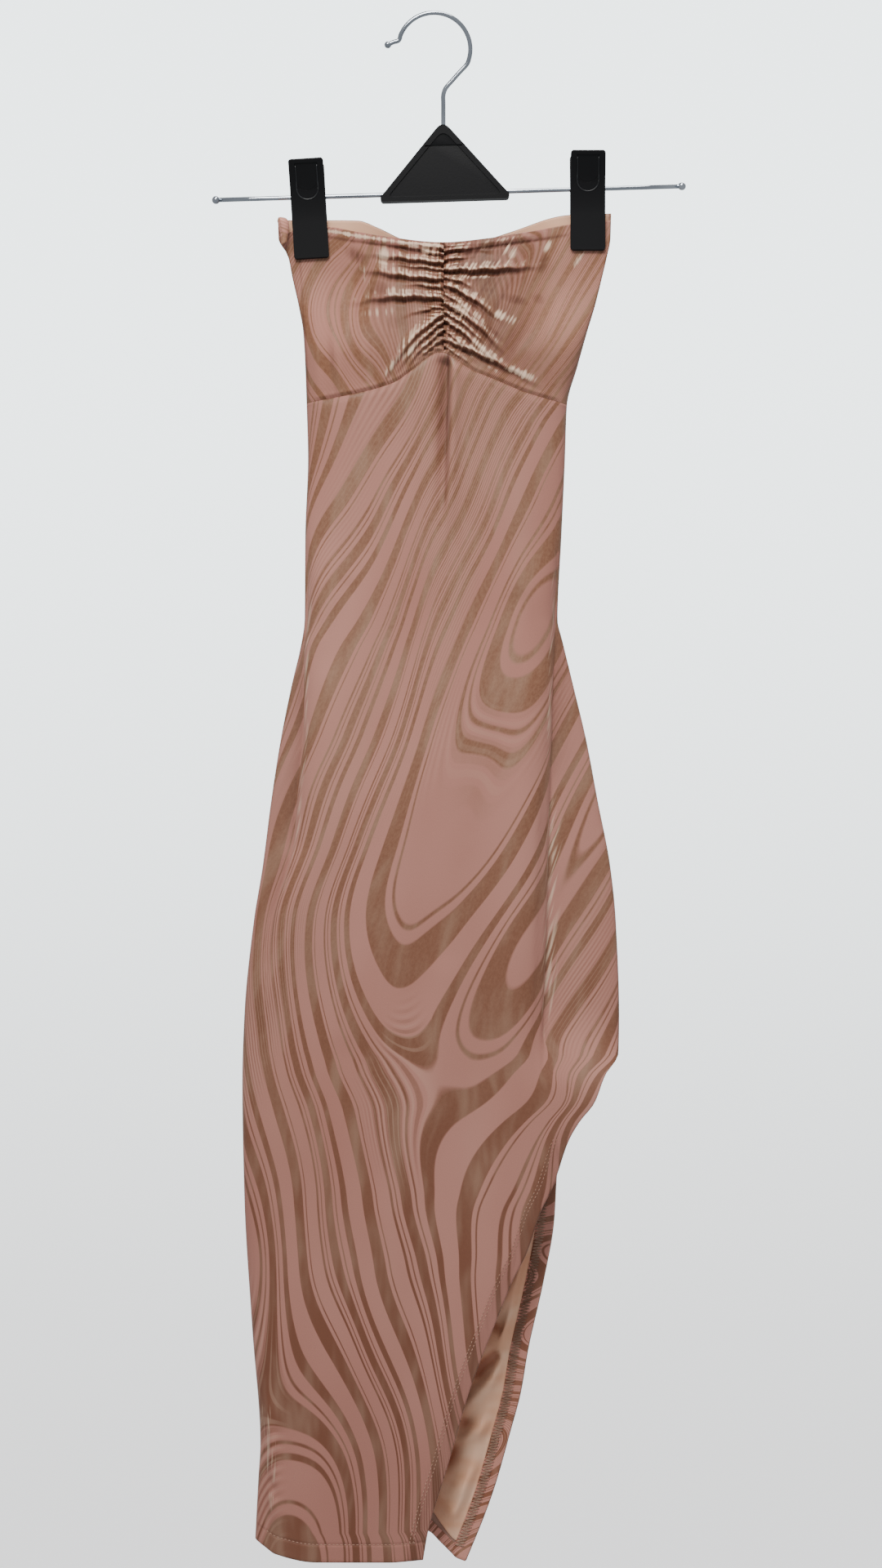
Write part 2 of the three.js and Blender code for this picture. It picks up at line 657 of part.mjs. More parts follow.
// The pieces inside the slit lie on the back's inner face, side by side
function makeSlitPieces() {
  const facingEdge = (z) => BACK.right(z) - SLIT_FACING;
  const facingPlace = (row, share) => {
    const hem = hemBack(lerp(facingEdge(-1150), BACK.right(-1150), share)) + 0.5;
    const z = lerp(FACING_TOP_Z, hem, row);
    return { column: columnAt(BACK, lerp(facingEdge(z), BACK.right(z) - 0.4, share), z), z };
  };
  const facing = clothWall(BACK, evenly(24), evenly(3), facingPlace, WALL + GAP, LINING);
  addPiece('back_slit_facing', facing, 'facing');

  const liningHem = (x) => hemBack(x) + HEM_FACING + lerp(9, 3, smooth(-6, 14, x));
  const liningPlace = (row, share) => {
    let z = LINING_TOP_Z;
    let x = 0;
    for (let i = 0; i < 12; i += 1) {
      const right = Math.min(facingEdge(z), facingEdge(FACING_TOP_Z) + 2) - GAP;
      const left = Math.min(FRONT.right(z) - LINING_BEHIND_SLIT, right - 12);
      x = lerp(left, right, share);
      z = lerp(LINING_TOP_Z, liningHem(x), row);
    }
    return { column: columnAt(BACK, x, z), z };
  };
  const lining = clothWall(BACK, evenly(20), evenly(6), liningPlace, WALL + GAP, LINING);
  addPiece('back_lining_slit', lining, 'lining');

  const hemPlace = (row, share) => {
    let z = hemBack(0);
    let x = 0;
    for (let i = 0; i < 12; i += 1) {
      x = lerp(-34, facingEdge(z) - GAP, share);
      z = hemBack(x) + lerp(HEM_FACING, 0.5, row);
    }
    return { column: columnAt(BACK, x, z), z };
  };
  const hem = clothWall(BACK, evenly(2), evenly(12), hemPlace, WALL + GAP, LINING);
  addPiece('back_hem_facing', hem, 'facing');
}

// Solids for cutting and joining
function solidFrom(geometry) {
  const bare = geometry.clone();
  bare.deleteAttribute('normal');
  bare.deleteAttribute('uv');
  const merged = mergeVertices(bare, 1e-4);
  return new wasm.Manifold(new wasm.Mesh({
    numProp: 3,
    vertProperties: new Float32Array(merged.attributes.position.array),
    triVerts: new Uint32Array(merged.index.array),
  }));
}

function geometryFrom(solid) {
  const mesh = solid.getMesh();
  const geometry = new THREE.BufferGeometry();
  geometry.setAttribute('position', new THREE.BufferAttribute(mesh.vertProperties, 3));
  geometry.setIndex(new THREE.BufferAttribute(mesh.triVerts, 1));
  geometry.computeVertexNormals();
  return geometry;
}

// The bar's line, and a turned solid set along it
const barStart = new THREE.Vector3(BAR.leftX, 0, BAR.leftZ);
const barEnd = new THREE.Vector3(BAR.rightX, 0, BAR.rightZ);
const barAxis = barEnd.clone().sub(barStart).normalize();
const barTurn = new THREE.Quaternion().setFromUnitVectors(new THREE.Vector3(0, 1, 0), barAxis);
const barZ = (x) => lerp(BAR.leftZ, BAR.rightZ, (x - BAR.leftX) / (BAR.rightX - BAR.leftX));

function alongBar(geometry, x) {
  geometry.applyQuaternion(barTurn);
  geometry.translate(x, 0, barZ(x));
  return geometry;
}

function makeBar() {
  const half = barStart.distanceTo(barEnd) / 2;
  const ball = BAR.ballRadius;
  const neck = Math.asin(BAR.radius / ball);
  const rightBall = evenly(6, neck, Math.PI).map((angle) => (
    new THREE.Vector2(ball * Math.sin(angle), half - ball * Math.cos(angle))
  ));
  rightBall[rightBall.length - 1].x = 0;
  const leftBall = rightBall.map((point) => new THREE.Vector2(point.x, -point.y)).reverse();
  const rod = new THREE.LatheGeometry([...leftBall, ...rightBall], 16);
  addPiece('bar', alongBar(rod, (BAR.leftX + BAR.rightX) / 2), 'chrome');
}

// An outline of corner points with each corner rounded by its own radius
function roundedShape(corners) {
  const shape = new THREE.Shape();
  corners.forEach((corner, i) => {
    const here = new THREE.Vector2(corner.x, corner.y);
    const before = corners[(i + corners.length - 1) % corners.length];
    const after = corners[(i + 1) % corners.length];
    const start = new THREE.Vector2(before.x, before.y).sub(here).setLength(corner.radius).add(here);
    const end = new THREE.Vector2(after.x, after.y).sub(here).setLength(corner.radius).add(here);
    if (i === 0) shape.moveTo(start.x, start.y);
    else shape.lineTo(start.x, start.y);
    shape.quadraticCurveTo(here.x, here.y, end.x, end.y);
  });
  shape.closePath();
  return shape;
}

function blockShape(inset) {
  const slope = Math.hypot(BLOCK.halfWidth, BLOCK.top + BLOCK.below) / BLOCK.halfWidth;
  const side = inset * (slope + 1);
  return roundedShape([
    { x: -BLOCK.halfWidth + side, y: -BLOCK.below + inset, radius: BLOCK.corner },
    { x: BLOCK.halfWidth - side, y: -BLOCK.below + inset, radius: BLOCK.corner },
    { x: 0, y: BLOCK.top + BLOCK.apexOver - inset * slope * 1.4, radius: BLOCK.apex },
  ]);
}

// Stands an upright plate drawn in front view on the tilted bar
function blockPlate(shape, thickness, frontY) {
  const plate = new THREE.ExtrudeGeometry(shape, { depth: thickness, bevelEnabled: false, curveSegments: 6 });
  plate.rotateX(Math.PI / 2);
  plate.translate(0, frontY + thickness, 0);
  plate.rotateY(-Math.atan2(barAxis.z, barAxis.x));
  plate.translate(BLOCK.x, 0, barZ(BLOCK.x));
  return solidFrom(plate);
}

function makeBlock() {
  const front = -BLOCK.depth / 2;
  const back = BLOCK.depth / 2 - BLOCK.recess;
  const grooveZ = BLOCK.top - BLOCK.below - BLOCK_GROOVE.below;
  const grooveX = BLOCK_GROOVE.halfWidth;
  const groove = new THREE.Shape([
    new THREE.Vector2(-grooveX, grooveZ),
    new THREE.Vector2(grooveX, grooveZ),
    new THREE.Vector2(grooveX, grooveZ + BLOCK_GROOVE.height),
    new THREE.Vector2(-grooveX, grooveZ + BLOCK_GROOVE.height),
  ]);
  const bore = new THREE.CylinderGeometry(BAR.radius + GAP, BAR.radius + GAP, 160, 20);
  const socketDepth = 60;
  const shank = HOOK_NECK[HOOK_NECK.length - 1];
  const socket = new THREE.CylinderGeometry(WIRE_RADIUS + GAP, WIRE_RADIUS + GAP, socketDepth, 20);
  socket.rotateX(Math.PI / 2);
  socket.translate(shank.x, 0, shank.z - GAP + socketDepth / 2);
  const block = blockPlate(blockShape(0), BLOCK.depth, front)
    .subtract(blockPlate(blockShape(BLOCK.rim), BLOCK.recess + 1, front - 1))
    .subtract(blockPlate(blockShape(BLOCK.rim), BLOCK.recess + 1, back))
    .subtract(blockPlate(groove, BLOCK_GROOVE.depth + BLOCK.recess, front))
    .subtract(solidFrom(alongBar(bore, BLOCK.x)))
    .subtract(solidFrom(socket));
  addPiece('hanger_block', geometryFrom(block), 'plastic');
}

// A round wire along a path of points
function wireAlong(points, radius, sides, steps) {
  const ring = new THREE.Shape();
  ring.absarc(0, 0, radius, 0, 2 * Math.PI);
  const path = new THREE.CatmullRomCurve3(points, false, 'centripetal');
  return new THREE.ExtrudeGeometry(ring, {
    extrudePath: path,
    steps,
    curveSegments: sides / 2,
    bevelEnabled: false,
  });
}

function makeHook() {
  const centreZ = WIRE_RADIUS - HOOK_ARC.radius;
  const arc = evenly(20, HOOK_ARC.fromAngle, HOOK_ARC.toAngle).map((degrees) => new THREE.Vector3(
    HOOK_ARC.x + HOOK_ARC.radius * Math.cos(degToRad(degrees)),
    0,
    centreZ + HOOK_ARC.radius * Math.sin(degToRad(degrees)),
  ));
  const upright = (spot) => new THREE.Vector3(spot.x, 0, spot.z);
  const tip = upright(HOOK_TIP);
  const path = [tip, upright(HOOK_START), ...arc, ...HOOK_NECK.map(upright)];
  const ball = new THREE.SphereGeometry(HOOK_TIP.radius, 14, 10).translate(tip.x, 0, tip.z);
  const wire = solidFrom(wireAlong(path, WIRE_RADIUS, 10, 56));
  addPiece('hook', geometryFrom(wire.add(solidFrom(ball))), 'chrome');
}

// grip is the Y of the jaw's inner face at its grip
function makeJaw(clip, which, direction, grip) {
  const outline = JAW_PROFILE.map((corner) => {
    const away = corner.depth + (corner.from === 'grip' ? grip : 0);
    return new THREE.Vector2(direction * away, corner.height);
  });
  const plate = new THREE.ExtrudeGeometry(new THREE.Shape(outline), {
    depth: CLIP_WIDTH,
    bevelEnabled: false,
  });
  plate.translate(0, 0, -CLIP_WIDTH / 2);
  const toWorld = new THREE.Matrix4().makeBasis(
    new THREE.Vector3(0, 1, 0),
    new THREE.Vector3(0, 0, 1),
    new THREE.Vector3(1, 0, 0),
  );
  plate.applyMatrix4(toWorld);
  const leverStart = new THREE.Vector3(0, direction * LEVER.startDepth, LEVER.startHeight);
  const leverEnd = new THREE.Vector3(0, direction * LEVER.endDepth, LEVER.endHeight);
  const up = leverEnd.clone().sub(leverStart).normalize();
  const across = new THREE.Vector3(-direction, 0, 0);
  const out = new THREE.Vector3().crossVectors(across, up);
  const half = CLIP_RECESS.width / 2;
  const thumb = new THREE.Shape();
  thumb.moveTo(-half, 0);
  thumb.lineTo(-half, half - CLIP_RECESS.height);
  thumb.absarc(0, half - CLIP_RECESS.height, half, Math.PI, 2 * Math.PI);
  thumb.lineTo(half, 0);
  const recess = new THREE.ExtrudeGeometry(thumb, { depth: 4, bevelEnabled: false, curveSegments: 10 });
  recess.translate(0, -CLIP_RECESS.belowTop, -CLIP_RECESS.depth);
  recess.applyMatrix4(new THREE.Matrix4().makeBasis(across, up, out).setPosition(leverEnd));
  const pocketRadius = SPRING.radius + SPRING_POCKET.room;
  const pocket = new THREE.CylinderGeometry(pocketRadius, pocketRadius, SPRING_POCKET.width, 20);
  pocket.rotateZ(Math.PI / 2);
  const slotDepth = 2 * (SPRING.radius + SPRING_POCKET.slotRoom);
  const slot = new THREE.BoxGeometry(SPRING_POCKET.width, slotDepth, SPRING_POCKET.slotHeight);
  slot.translate(0, 0, SPRING_POCKET.slotHeight / 2);
  const lean = degToRad(clip.lean);
  let jaw = solidFrom(plate).subtract(solidFrom(recess));
  jaw = jaw.subtract(solidFrom(pocket)).subtract(solidFrom(slot));
  const placed = geometryFrom(jaw).rotateY(lean).translate(clip.x, 0, barZ(clip.x));
  const bore = new THREE.CylinderGeometry(BAR.radius + GAP, BAR.radius + GAP, 60, 20);
  const cut = solidFrom(placed).subtract(solidFrom(alongBar(bore, clip.x)));
  addPiece(`${clip.name}_${which}`, geometryFrom(cut), 'plastic');
}

function makeSpring(clip) {
  const length = SPRING.pitch * SPRING.turns;
  const coil = evenly(12 * SPRING.turns, 0, SPRING.turns).map((turn) => new THREE.Vector3(
    SPRING.pitch * turn - length / 2,
    -SPRING.radius * Math.cos(2 * Math.PI * turn),
    -SPRING.radius * Math.sin(2 * Math.PI * turn),
  ));
  const leg = (side) => [
    new THREE.Vector3((side * length) / 2, side * (SPRING.radius + 0.1), 4),
    new THREE.Vector3((side * length) / 2, side * (SPRING.radius + 1.2), 8.5),
    new THREE.Vector3((side * length) / 2, side * SPRING.legReach, SPRING.legTop),
  ];
  const points = [...leg(-1).reverse(), ...coil, ...leg(1)];
  const spring = wireAlong(points, SPRING.wire, 6, 44);
  spring.rotateY(degToRad(clip.lean)).translate(clip.x, 0, barZ(clip.x));
  addPiece(`${clip.name}_spring`, spring, 'springSteel');
}

makeBust('bust_left', -1);
makeBust('bust_right', 1);
makeFrontSkirt();
makeBack();
makeSlitPieces();
makeHook();
makeBlock();
makeBar();
for (const clip of CLIPS) {
  const clothFront = SEAM_Y + EDGE_ROLL;
  makeJaw(clip, 'front', -1, clothFront + GAP);
  makeJaw(clip, 'back', 1, clothFront + LINING_ROOM + GAP);
  makeSpring(clip);
}

export default dress;
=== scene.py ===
import math

import bmesh
import bpy
import numpy as np
from mathutils import Matrix, Vector


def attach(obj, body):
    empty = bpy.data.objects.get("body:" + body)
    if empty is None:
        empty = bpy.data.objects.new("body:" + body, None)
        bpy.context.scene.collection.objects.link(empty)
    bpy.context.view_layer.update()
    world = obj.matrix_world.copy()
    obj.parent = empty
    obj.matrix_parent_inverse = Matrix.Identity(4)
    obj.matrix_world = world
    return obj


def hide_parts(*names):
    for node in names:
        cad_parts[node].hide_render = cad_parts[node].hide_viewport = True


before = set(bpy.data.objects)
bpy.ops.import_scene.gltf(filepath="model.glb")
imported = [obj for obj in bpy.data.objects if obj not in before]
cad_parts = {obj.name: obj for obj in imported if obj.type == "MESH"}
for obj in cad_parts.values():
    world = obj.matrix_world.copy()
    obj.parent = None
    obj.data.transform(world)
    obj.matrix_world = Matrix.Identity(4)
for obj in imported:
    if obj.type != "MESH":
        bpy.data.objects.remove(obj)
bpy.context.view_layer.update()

# The tables are in millimetres, as in the part's source, and meshes are made in metres.
MM = 0.001

# Cloth
WALL = 1.2
LINING = 0.9
STRIP_GAP = 0.1
CUP_GAP = 1e-4
UNDER_BUST_GAP = 0.06
SEAM_Y = 0.17
EDGE_ROLL = 1.7
LINING_ROOM = 0.3
NECK_STRIP = 26
SLIT_FACING = 13.5
HEM_FACING = 9
HEM_FACING_LEFT_X = -34
LINING_BEHIND_SLIT = 25
LINING_HANGS_OFF = 4.2
LINING_FOLD_DEPTH = 1.2
OVERLOCK_REACH = (0.3, 7.5)
OVERLOCK_THREAD = 0.38
WING_SHARE = 0.35
FOLD_ROLL = 24
SECTION_POWER = 2.6
MIDDLE_X = 7
SLIT_TOP_Z = -757
SLIT_OPEN_Z = -812
SLIT_EDGE_Z = -850
LINING_TOP_Z = -803
FACING_TOP_Z = -834
HEM_STITCH_UP = 13
SLIT_STITCH_IN = 9
SLIT_ROWS_APART = 2.6
NECK_STITCH_DOWN = 9
NECK_BAND = 6.5
# Repeats that bring x and z of an edge, or a column at an x, to agree
SETTLE_STEPS = 14
SEARCH_STEPS = 36

# The two side seams, by height
OUTLINE = {
    "z": [-150, -167, -180, -197, -217, -237, -262, -292, -332, -387, -452, -467,
          -502, -542, -587, -637, -677, -747, -797, -882, -982, -1067, -1092, -1160],
    "left": [-117, -116.5, -109.5, -106, -101.5, -98, -96.5, -95.5, -94.5, -96.5, -97, -99,
             -107, -115, -122, -128.5, -135, -142, -143.5, -142, -136, -130, -131.5, -135],
    "right": [132, 131.5, 129, 125, 120, 114, 107, 99, 97.5, 95, 92, 95.5,
              104, 113.5, 122, 131.5, 135.5, 138, 137, 136, 134, 131, 131, 131],
}
# The two cut edges of the slit, by height
SLIT_FRONT = {
    "z": [-757, -775, -790, -811, -825, -839, -874, -891, -922, -942, -975, -1025, -1077, -1131, -1155],
    "x": [138, 137, 126.5, 118, 107, 99, 87, 78.5, 68, 58, 44.5, 25.5, 10.5, -5.5, -9.5],
}
SLIT_BACK = {
    "z": [-757, -766, -790, -825, -849, -867, -903, -948, -999, -1031, -1059, -1098, -1121, -1160],
    "x": [138, 134, 118.5, 100.5, 94, 91.7, 89.5, 81.5, 70, 64.5, 57, 46, 38, 22],
}
# Edges and the seam under the bust, from left to right
NECK_FRONT = {
    "x": [-117, -105, -79, -57, -33, 6, 39, 63, 101, 132],
    "z": [-166, -162, -159, -163, -167.5, -171.5, -168.5, -164.5, -157, -154],
}
NECK_BACK = {
    "x": [-117, -57, -43, -19, 8, 34, 58, 101, 132],
    "z": [-153.5, -153.5, -158, -168.5, -174, -168.5, -161, -149.5, -148.5],
}
UNDER_BUST = {
    "x": [-96, -56, -31, -16, -6, 3, 8, 27, 44, 69, 99],
    "z": [-291, -284, -277, -267, -259, -254.5, -255, -267, -274, -284, -292],
}
HEM_FRONT = {
    "x": [-135, -127, -118, -88, -34, -9],
    "z": [-1136, -1141, -1146.5, -1152, -1152, -1150],
}
HEM_BACK = {
    "x": [-134, -110, -18, -4, 5, 18, 27],
    "z": [-1128.5, -1130.5, -1130.5, -1134.5, -1143, -1154.5, -1157.5],
}
# Stand-off from the middle plane, and how sharply the front's side folds stand out
DEPTH = {
    "z": [-150, -200, -260, -330, -385, -440, -600, -660, -740, -800, -1000, -1160],
    "front": [8, 15, 23, 19, 18, 19, 26, 26, 25, 24, 20, 17],
    "back": [6, 10, 13, 13, 13, 13, 17, 17, 17, 16, 13, 11],
    "fold_left": [0, 0, 0, 0, 0, 1, 1, 0.7, 0, 0, 0, 0],
    "fold_right": [0, 0, 0, 0, 0, 1, 1, 1, 0.8, 0, 0, 0],
}
FOLD_EDGE = {
    "z": [-440, -483, -535, -575, -617, -675, -774],
    "left": [-95.5, -97.5, -97.5, -101.5, -105, -120, -130],
    "right": [91, 89, 87.5, 86, 85, 83.5, 80],
}

# The fold below the point of the bust seam, and the heights where it starts and is deepest
PLEAT_FADE = (-404, -300)
PLEAT = {"z": [-250, -257, -324, -366, -399, -420], "x": [10.6, 10.4, 8.9, 7.3, 0.6, -4]}

# Gathers from the seam between the cups: height at the seam, outer end, sag, width, height
GATHERS = [
    (-176.5, -18, -172, 0, 1.8, 1.4), (-181, -36, -173, 0.5, 2.4, 2.2), (-187, -52, -179, -0.5, 2.8, 2.8),
    (-192.5, -30, -188, 0, 2.0, 1.8), (-199, -58, -189.5, -2, 3.0, 3.2), (-207, -24, -203, 1, 2.2, 1.8),
    (-214, -64, -216, 2.5, 3.2, 3.4), (-221, -20, -226, 1, 2.0, 1.6), (-226, -38, -274, 6, 2.9, 3.2),
    (-232, -30, -270, 4, 2.4, 2.6), (-238, -22, -266, 2, 2.0, 2.2), (-245, -15, -261, 1, 1.8, 1.8),
    (-178, 40, -177, 1, 2.4, 2.0), (-184, 24, -183, 0, 2.0, 1.6), (-192, 84, -187, -2, 3.0, 3.4),
    (-198, 30, -206, 1, 2.2, 2.0), (-203, 48, -228, 2, 2.8, 3.0), (-210, 34, -232, 1.5, 2.2, 2.0),
    (-217, 52, -254, 3.5, 3.0, 3.4), (-224, 40, -250, 2, 2.2, 2.2), (-230, 42, -259, 2, 2.4, 2.6),
    (-238, 32, -260, 1, 2.0, 1.8), (-245, 74, -276, 1.5, 2.8, 3.2), (-250, 30, -266, 0.5, 1.6, 1.4),
]
FINE_GATHERS = 13

# Painted highlights and shade on the cups: centre x and z, half width, half height, tilt in degrees,
# highlight (positive) or shade (negative)
PAINTED_HIGHLIGHTS_AND_SHADE = [
    (-57, -181, 10, 5, -35, -0.8), (-40, -208, 12, 9, 0, -0.7), (-21, -189, 14, 3.5, -8, -0.8),
    (-17, -211.5, 13, 5, 0, -0.8), (-27, -231, 13, 9, 15, -0.5), (-23, -250, 8, 5, 42, -0.8),
    (24, -190.5, 17, 4.5, -4, -0.95), (44, -187.5, 7, 7, -40, -0.9), (39, -207.5, 12, 4, -5, -0.85),
    (57, -214, 15, 5.5, -12, -0.9), (77, -213, 6, 5, -30, -0.6), (27, -228, 5, 4.5, -50, -0.8),
    (43, -239.5, 14, 5, -40, -1.0), (81, -186, 4, 9, -20, -0.8), (62, -250, 8, 4, -40, -0.4),
    (18, -246, 7, 3, -50, -0.7), (-75, -262, 3, 22, 8, -0.4),
    (-36, -183, 9, 8, -20, 0.7), (-5, -179, 10, 3, -12, 0.8), (-40, -224, 14, 4, 4, 0.65),
    (-17, -252.5, 12, 2.2, 46, 0.9), (33, -197, 17, 2.2, 2, 0.95), (56, -177.5, 8, 6, -45, 0.9),
    (84, -172.5, 5, 4, 60, 1.0), (21, -223, 7, 7, -60, 0.9), (53, -228, 12, 4.2, -18, 0.95),
    (36, -253, 14, 3.2, -48, 0.8), (63, -270, 14, 4, -18, 0.95), (108, -182, 9, 1.6, 55, 1.0),
    (-30, -263, 13, 2.2, 52, 0.7), (44, -266, 9, 3, -40, 0.8), (-52, -195, 3, 10, 25, 0.5),
]

# Soft folds: start x and z, end x and z, width, height (negative for a trough)
CORNER_FOLDS = [
    (-126, -1030, -118, -1130, 5, 3.2), (-131, -1040, -120, -1063, 3, 2.0),
    (-120, -1062, -124, -1096, 3, 2.0), (-128, -1078, -116, -1108, 3, -2.2),
]
FRONT_FOLDS = CORNER_FOLDS + [
    (18, -256, 12, -400, 8, 1.6), (-93, -190, -87, -305, 5, 1.8),
    (-82, -186, -58, -284, 8, -1.8), (112, -184, 76, -194, 4.5, 2.8), (100, -196, 52, -262, 7, -1.6),
    (106, -190, 84, -250, 3, 1.0), (-70, -200, -64, -276, 4, 1.0), (85, -620, 80, -790, 6, 2),
    (-105, -617, -130, -760, 11, 3), (-30, -560, -46, -1160, 24, 2.6), (40, -500, 26, -960, 20, -2.2),
    (-84, -690, -96, -1165, 17, -2.6), (60, -430, 84, -500, 9, -1.4), (-62, -420, -86, -500, 9, -1.3),
    (-70, -760, -40, -900, 15, -1.2), (10, -700, -6, -860, 13, 1.2),
]
BACK_FOLDS = [
    (4, -180, 8, -430, 14, -3), (-40, -190, -58, -400, 12, 2), (62, -190, 52, -380, 12, 2.2),
    (56, -430, 62, -770, 18, 3), (0, -500, -20, -860, 20, -3), (-45, -470, -78, -1150, 18, 3.4),
    (-98, -560, -110, -1140, 12, -2.6), (-84, -200, -72, -300, 6, 1.4), (96, -200, 84, -300, 6, 1.4),
    (20, -300, -30, -420, 9, 1.3), (-70, -430, -20, -520, 12, -1.4), (80, -440, 40, -520, 11, -1.4),
]
LINING_FOLDS = [
    (70, -927, 47, -972, 7, 4), (65, -959, 48, -992, 4, 2.5), (51, -984, 37, -978, 4, -3),
    (49, -1001, 26, -1021, 6, -4.5), (56, -1006, 18, -1046, 6, 5), (26, -1048, 4, -1092, 6, -3.5),
    (54, -1049, 8, -1069, 6, 4.5), (46, -1073, 12, -1112, 6, 4), (46, -1092, 22, -1124, 5, -3),
    (34, -1098, 6, -1128, 5, 3), (64, -940, 70, -905, 5, -2),
]

# Rows of stitches: the first and last x along a hem or z down the slit, and how many points place the row
HEM_STITCHES = (-126, -12, 90)
SLIT_STITCHES = (-836, -1141, 200)
BACK_HEM_STITCHES = (-126, 16, 110)
BACK_SLIT_STITCHES = (-845, -1140, 200)
NECK_STITCHES = (-70, 90, 120)

# Hanger
BAR = {"left": (-163.2, -138.2), "right": (184.8, -127.9), "radius": 1.7, "ball": 3.0}
WIRE_RADIUS = 1.7
HOOK_ARC = {"x": -0.3, "radius": 27.1, "from": 166, "to": -24}
HOOK_TIP = (-34.8, -22.3)
HOOK_LIP = (-31, -20.4)
HOOK_BALL = 2.6
HOOK_TAIL = [(19, -42.5), (12.6, -49.7), (8.2, -55), (6.6, -60), (6.6, -66), (6.6, -85), (6.6, -101)]
CLIP_X = {"clip_left": -94.3, "clip_right": 114.4}
CLIP_LEAN = {"clip_left": -3.5, "clip_right": 0.0}
CLIP_GRIP = {"x": 23, "inside": 62, "outside": 32, "z": -190, "below": -256}
EDGE_ROUNDING = 0.45
BLOCK_CORNER = 2.5
JAW_CORNER = 2.8
THUMB_REST = {"half": 8, "bottom": 5.5, "top": 22, "rim": 0.5}
SPRING = {"wire": 0.55, "radius": 2.6, "pitch": 1.5, "turns": 2.5}
# Each spring leg from the coil: how far forward or back, and how far up
SPRING_LEG = [(2.7, 4), (3.8, 8.5), (8, 18)]

# Camera, by the photo's frame
PIXEL = 0.61
FRAME_PIXELS = (1080, 1920)
ORIGIN_PIXEL = (532, 18.4)
CAMERA_DISTANCE = 3000
SENSOR_WIDTH = 36


def lerp(a, b, t):
    return a + (b - a) * t


def smooth(start, end, value):
    share = np.clip((value - start) / (end - start), 0, 1)
    return share * share * (3 - 2 * share)


def bell(value, width):
    """1 at 0, falling away softly on both sides."""
    return np.exp(-((value / width) ** 2))


def curve_through(table, along, value):
    """A smooth curve through a table's columns that stays between neighbouring rows."""
    order = np.argsort(table[along])
    at = np.array(table[along], float)[order]
    values = np.array(table[value], float)[order]
    rise = np.diff(values) / np.diff(at)
    slopes = np.empty_like(values)
    slopes[0], slopes[-1] = rise[0], rise[-1]
    before, after = rise[:-1], rise[1:]
    turning = before * after <= 0
    slopes[1:-1] = np.where(turning, 0, 2 * before * after / np.where(turning, 1, before + after))

    def curve(place):
        place = np.clip(np.asarray(place, float), at[0], at[-1])
        i = np.clip(np.searchsorted(at, place, side="right") - 1, 0, len(at) - 2)
        span = at[i + 1] - at[i]
        t = (place - at[i]) / span
        u = 1 - t
        ends = values[i] * u * u * (1 + 2 * t) + values[i + 1] * t * t * (1 + 2 * u)
        return ends + span * t * u * (slopes[i] * u - slopes[i + 1] * t)

    return curve


def curves(table, *values):
    return [curve_through(table, "z", value) for value in values]


outline_left, outline_right = curves(OUTLINE, "left", "right")
depth_front, depth_back, fold_left, fold_right = curves(DEPTH, "front", "back", "fold_left", "fold_right")
edge_left, edge_right = curves(FOLD_EDGE, "left", "right")
slit_front, slit_back, pleat_x = (curve_through(table, "z", "x") for table in (SLIT_FRONT, SLIT_BACK, PLEAT))
neck_front, neck_back, under_bust, hem_front, hem_back = (
    curve_through(table, "x", "z") for table in (NECK_FRONT, NECK_BACK, UNDER_BUST, HEM_FRONT, HEM_BACK))


def quarter(share):
    """A quarter circle's rise from 0 to 1, upright at its start."""
    rest = 1 - np.clip(share, 0, 1)
    return np.sqrt(1 - rest * rest)


def section(share):
    return (1 - np.clip(share, 0, 1) ** SECTION_POWER) ** (1 / SECTION_POWER)


def slit_opening(z):
    return smooth(SLIT_TOP_Z, SLIT_OPEN_Z, z)


def clip_grip(x, z):
    """How firmly the clips press front and back together, 1 under a clip."""
    grip = np.zeros_like(x)
    for centre in CLIP_X.values():
        outward = (x - centre) * np.sign(centre)
        reach = np.where(outward > 0, CLIP_GRIP["outside"], CLIP_GRIP["inside"])
        grip = np.maximum(grip, 1 - smooth(CLIP_GRIP["x"], reach, np.abs(outward)))
    return grip * (1 - smooth(CLIP_GRIP["z"], CLIP_GRIP["below"], z))


def fold_height(folds, x, z):
    height = np.zeros_like(x)
    for x0, z0, x1, z1, width, rise in folds:
        dx, dz = x1 - x0, z1 - z0
        share = np.clip(((x - x0) * dx + (z - z0) * dz) / (dx * dx + dz * dz), 0, 1)
        off = np.hypot(x - x0 - share * dx, z - z0 - share * dz)
        fade = smooth(-0.05, 0.12, share) * (1 - smooth(0.7, 1.05, share))
        height += rise * fade * bell(off, width)
    return height


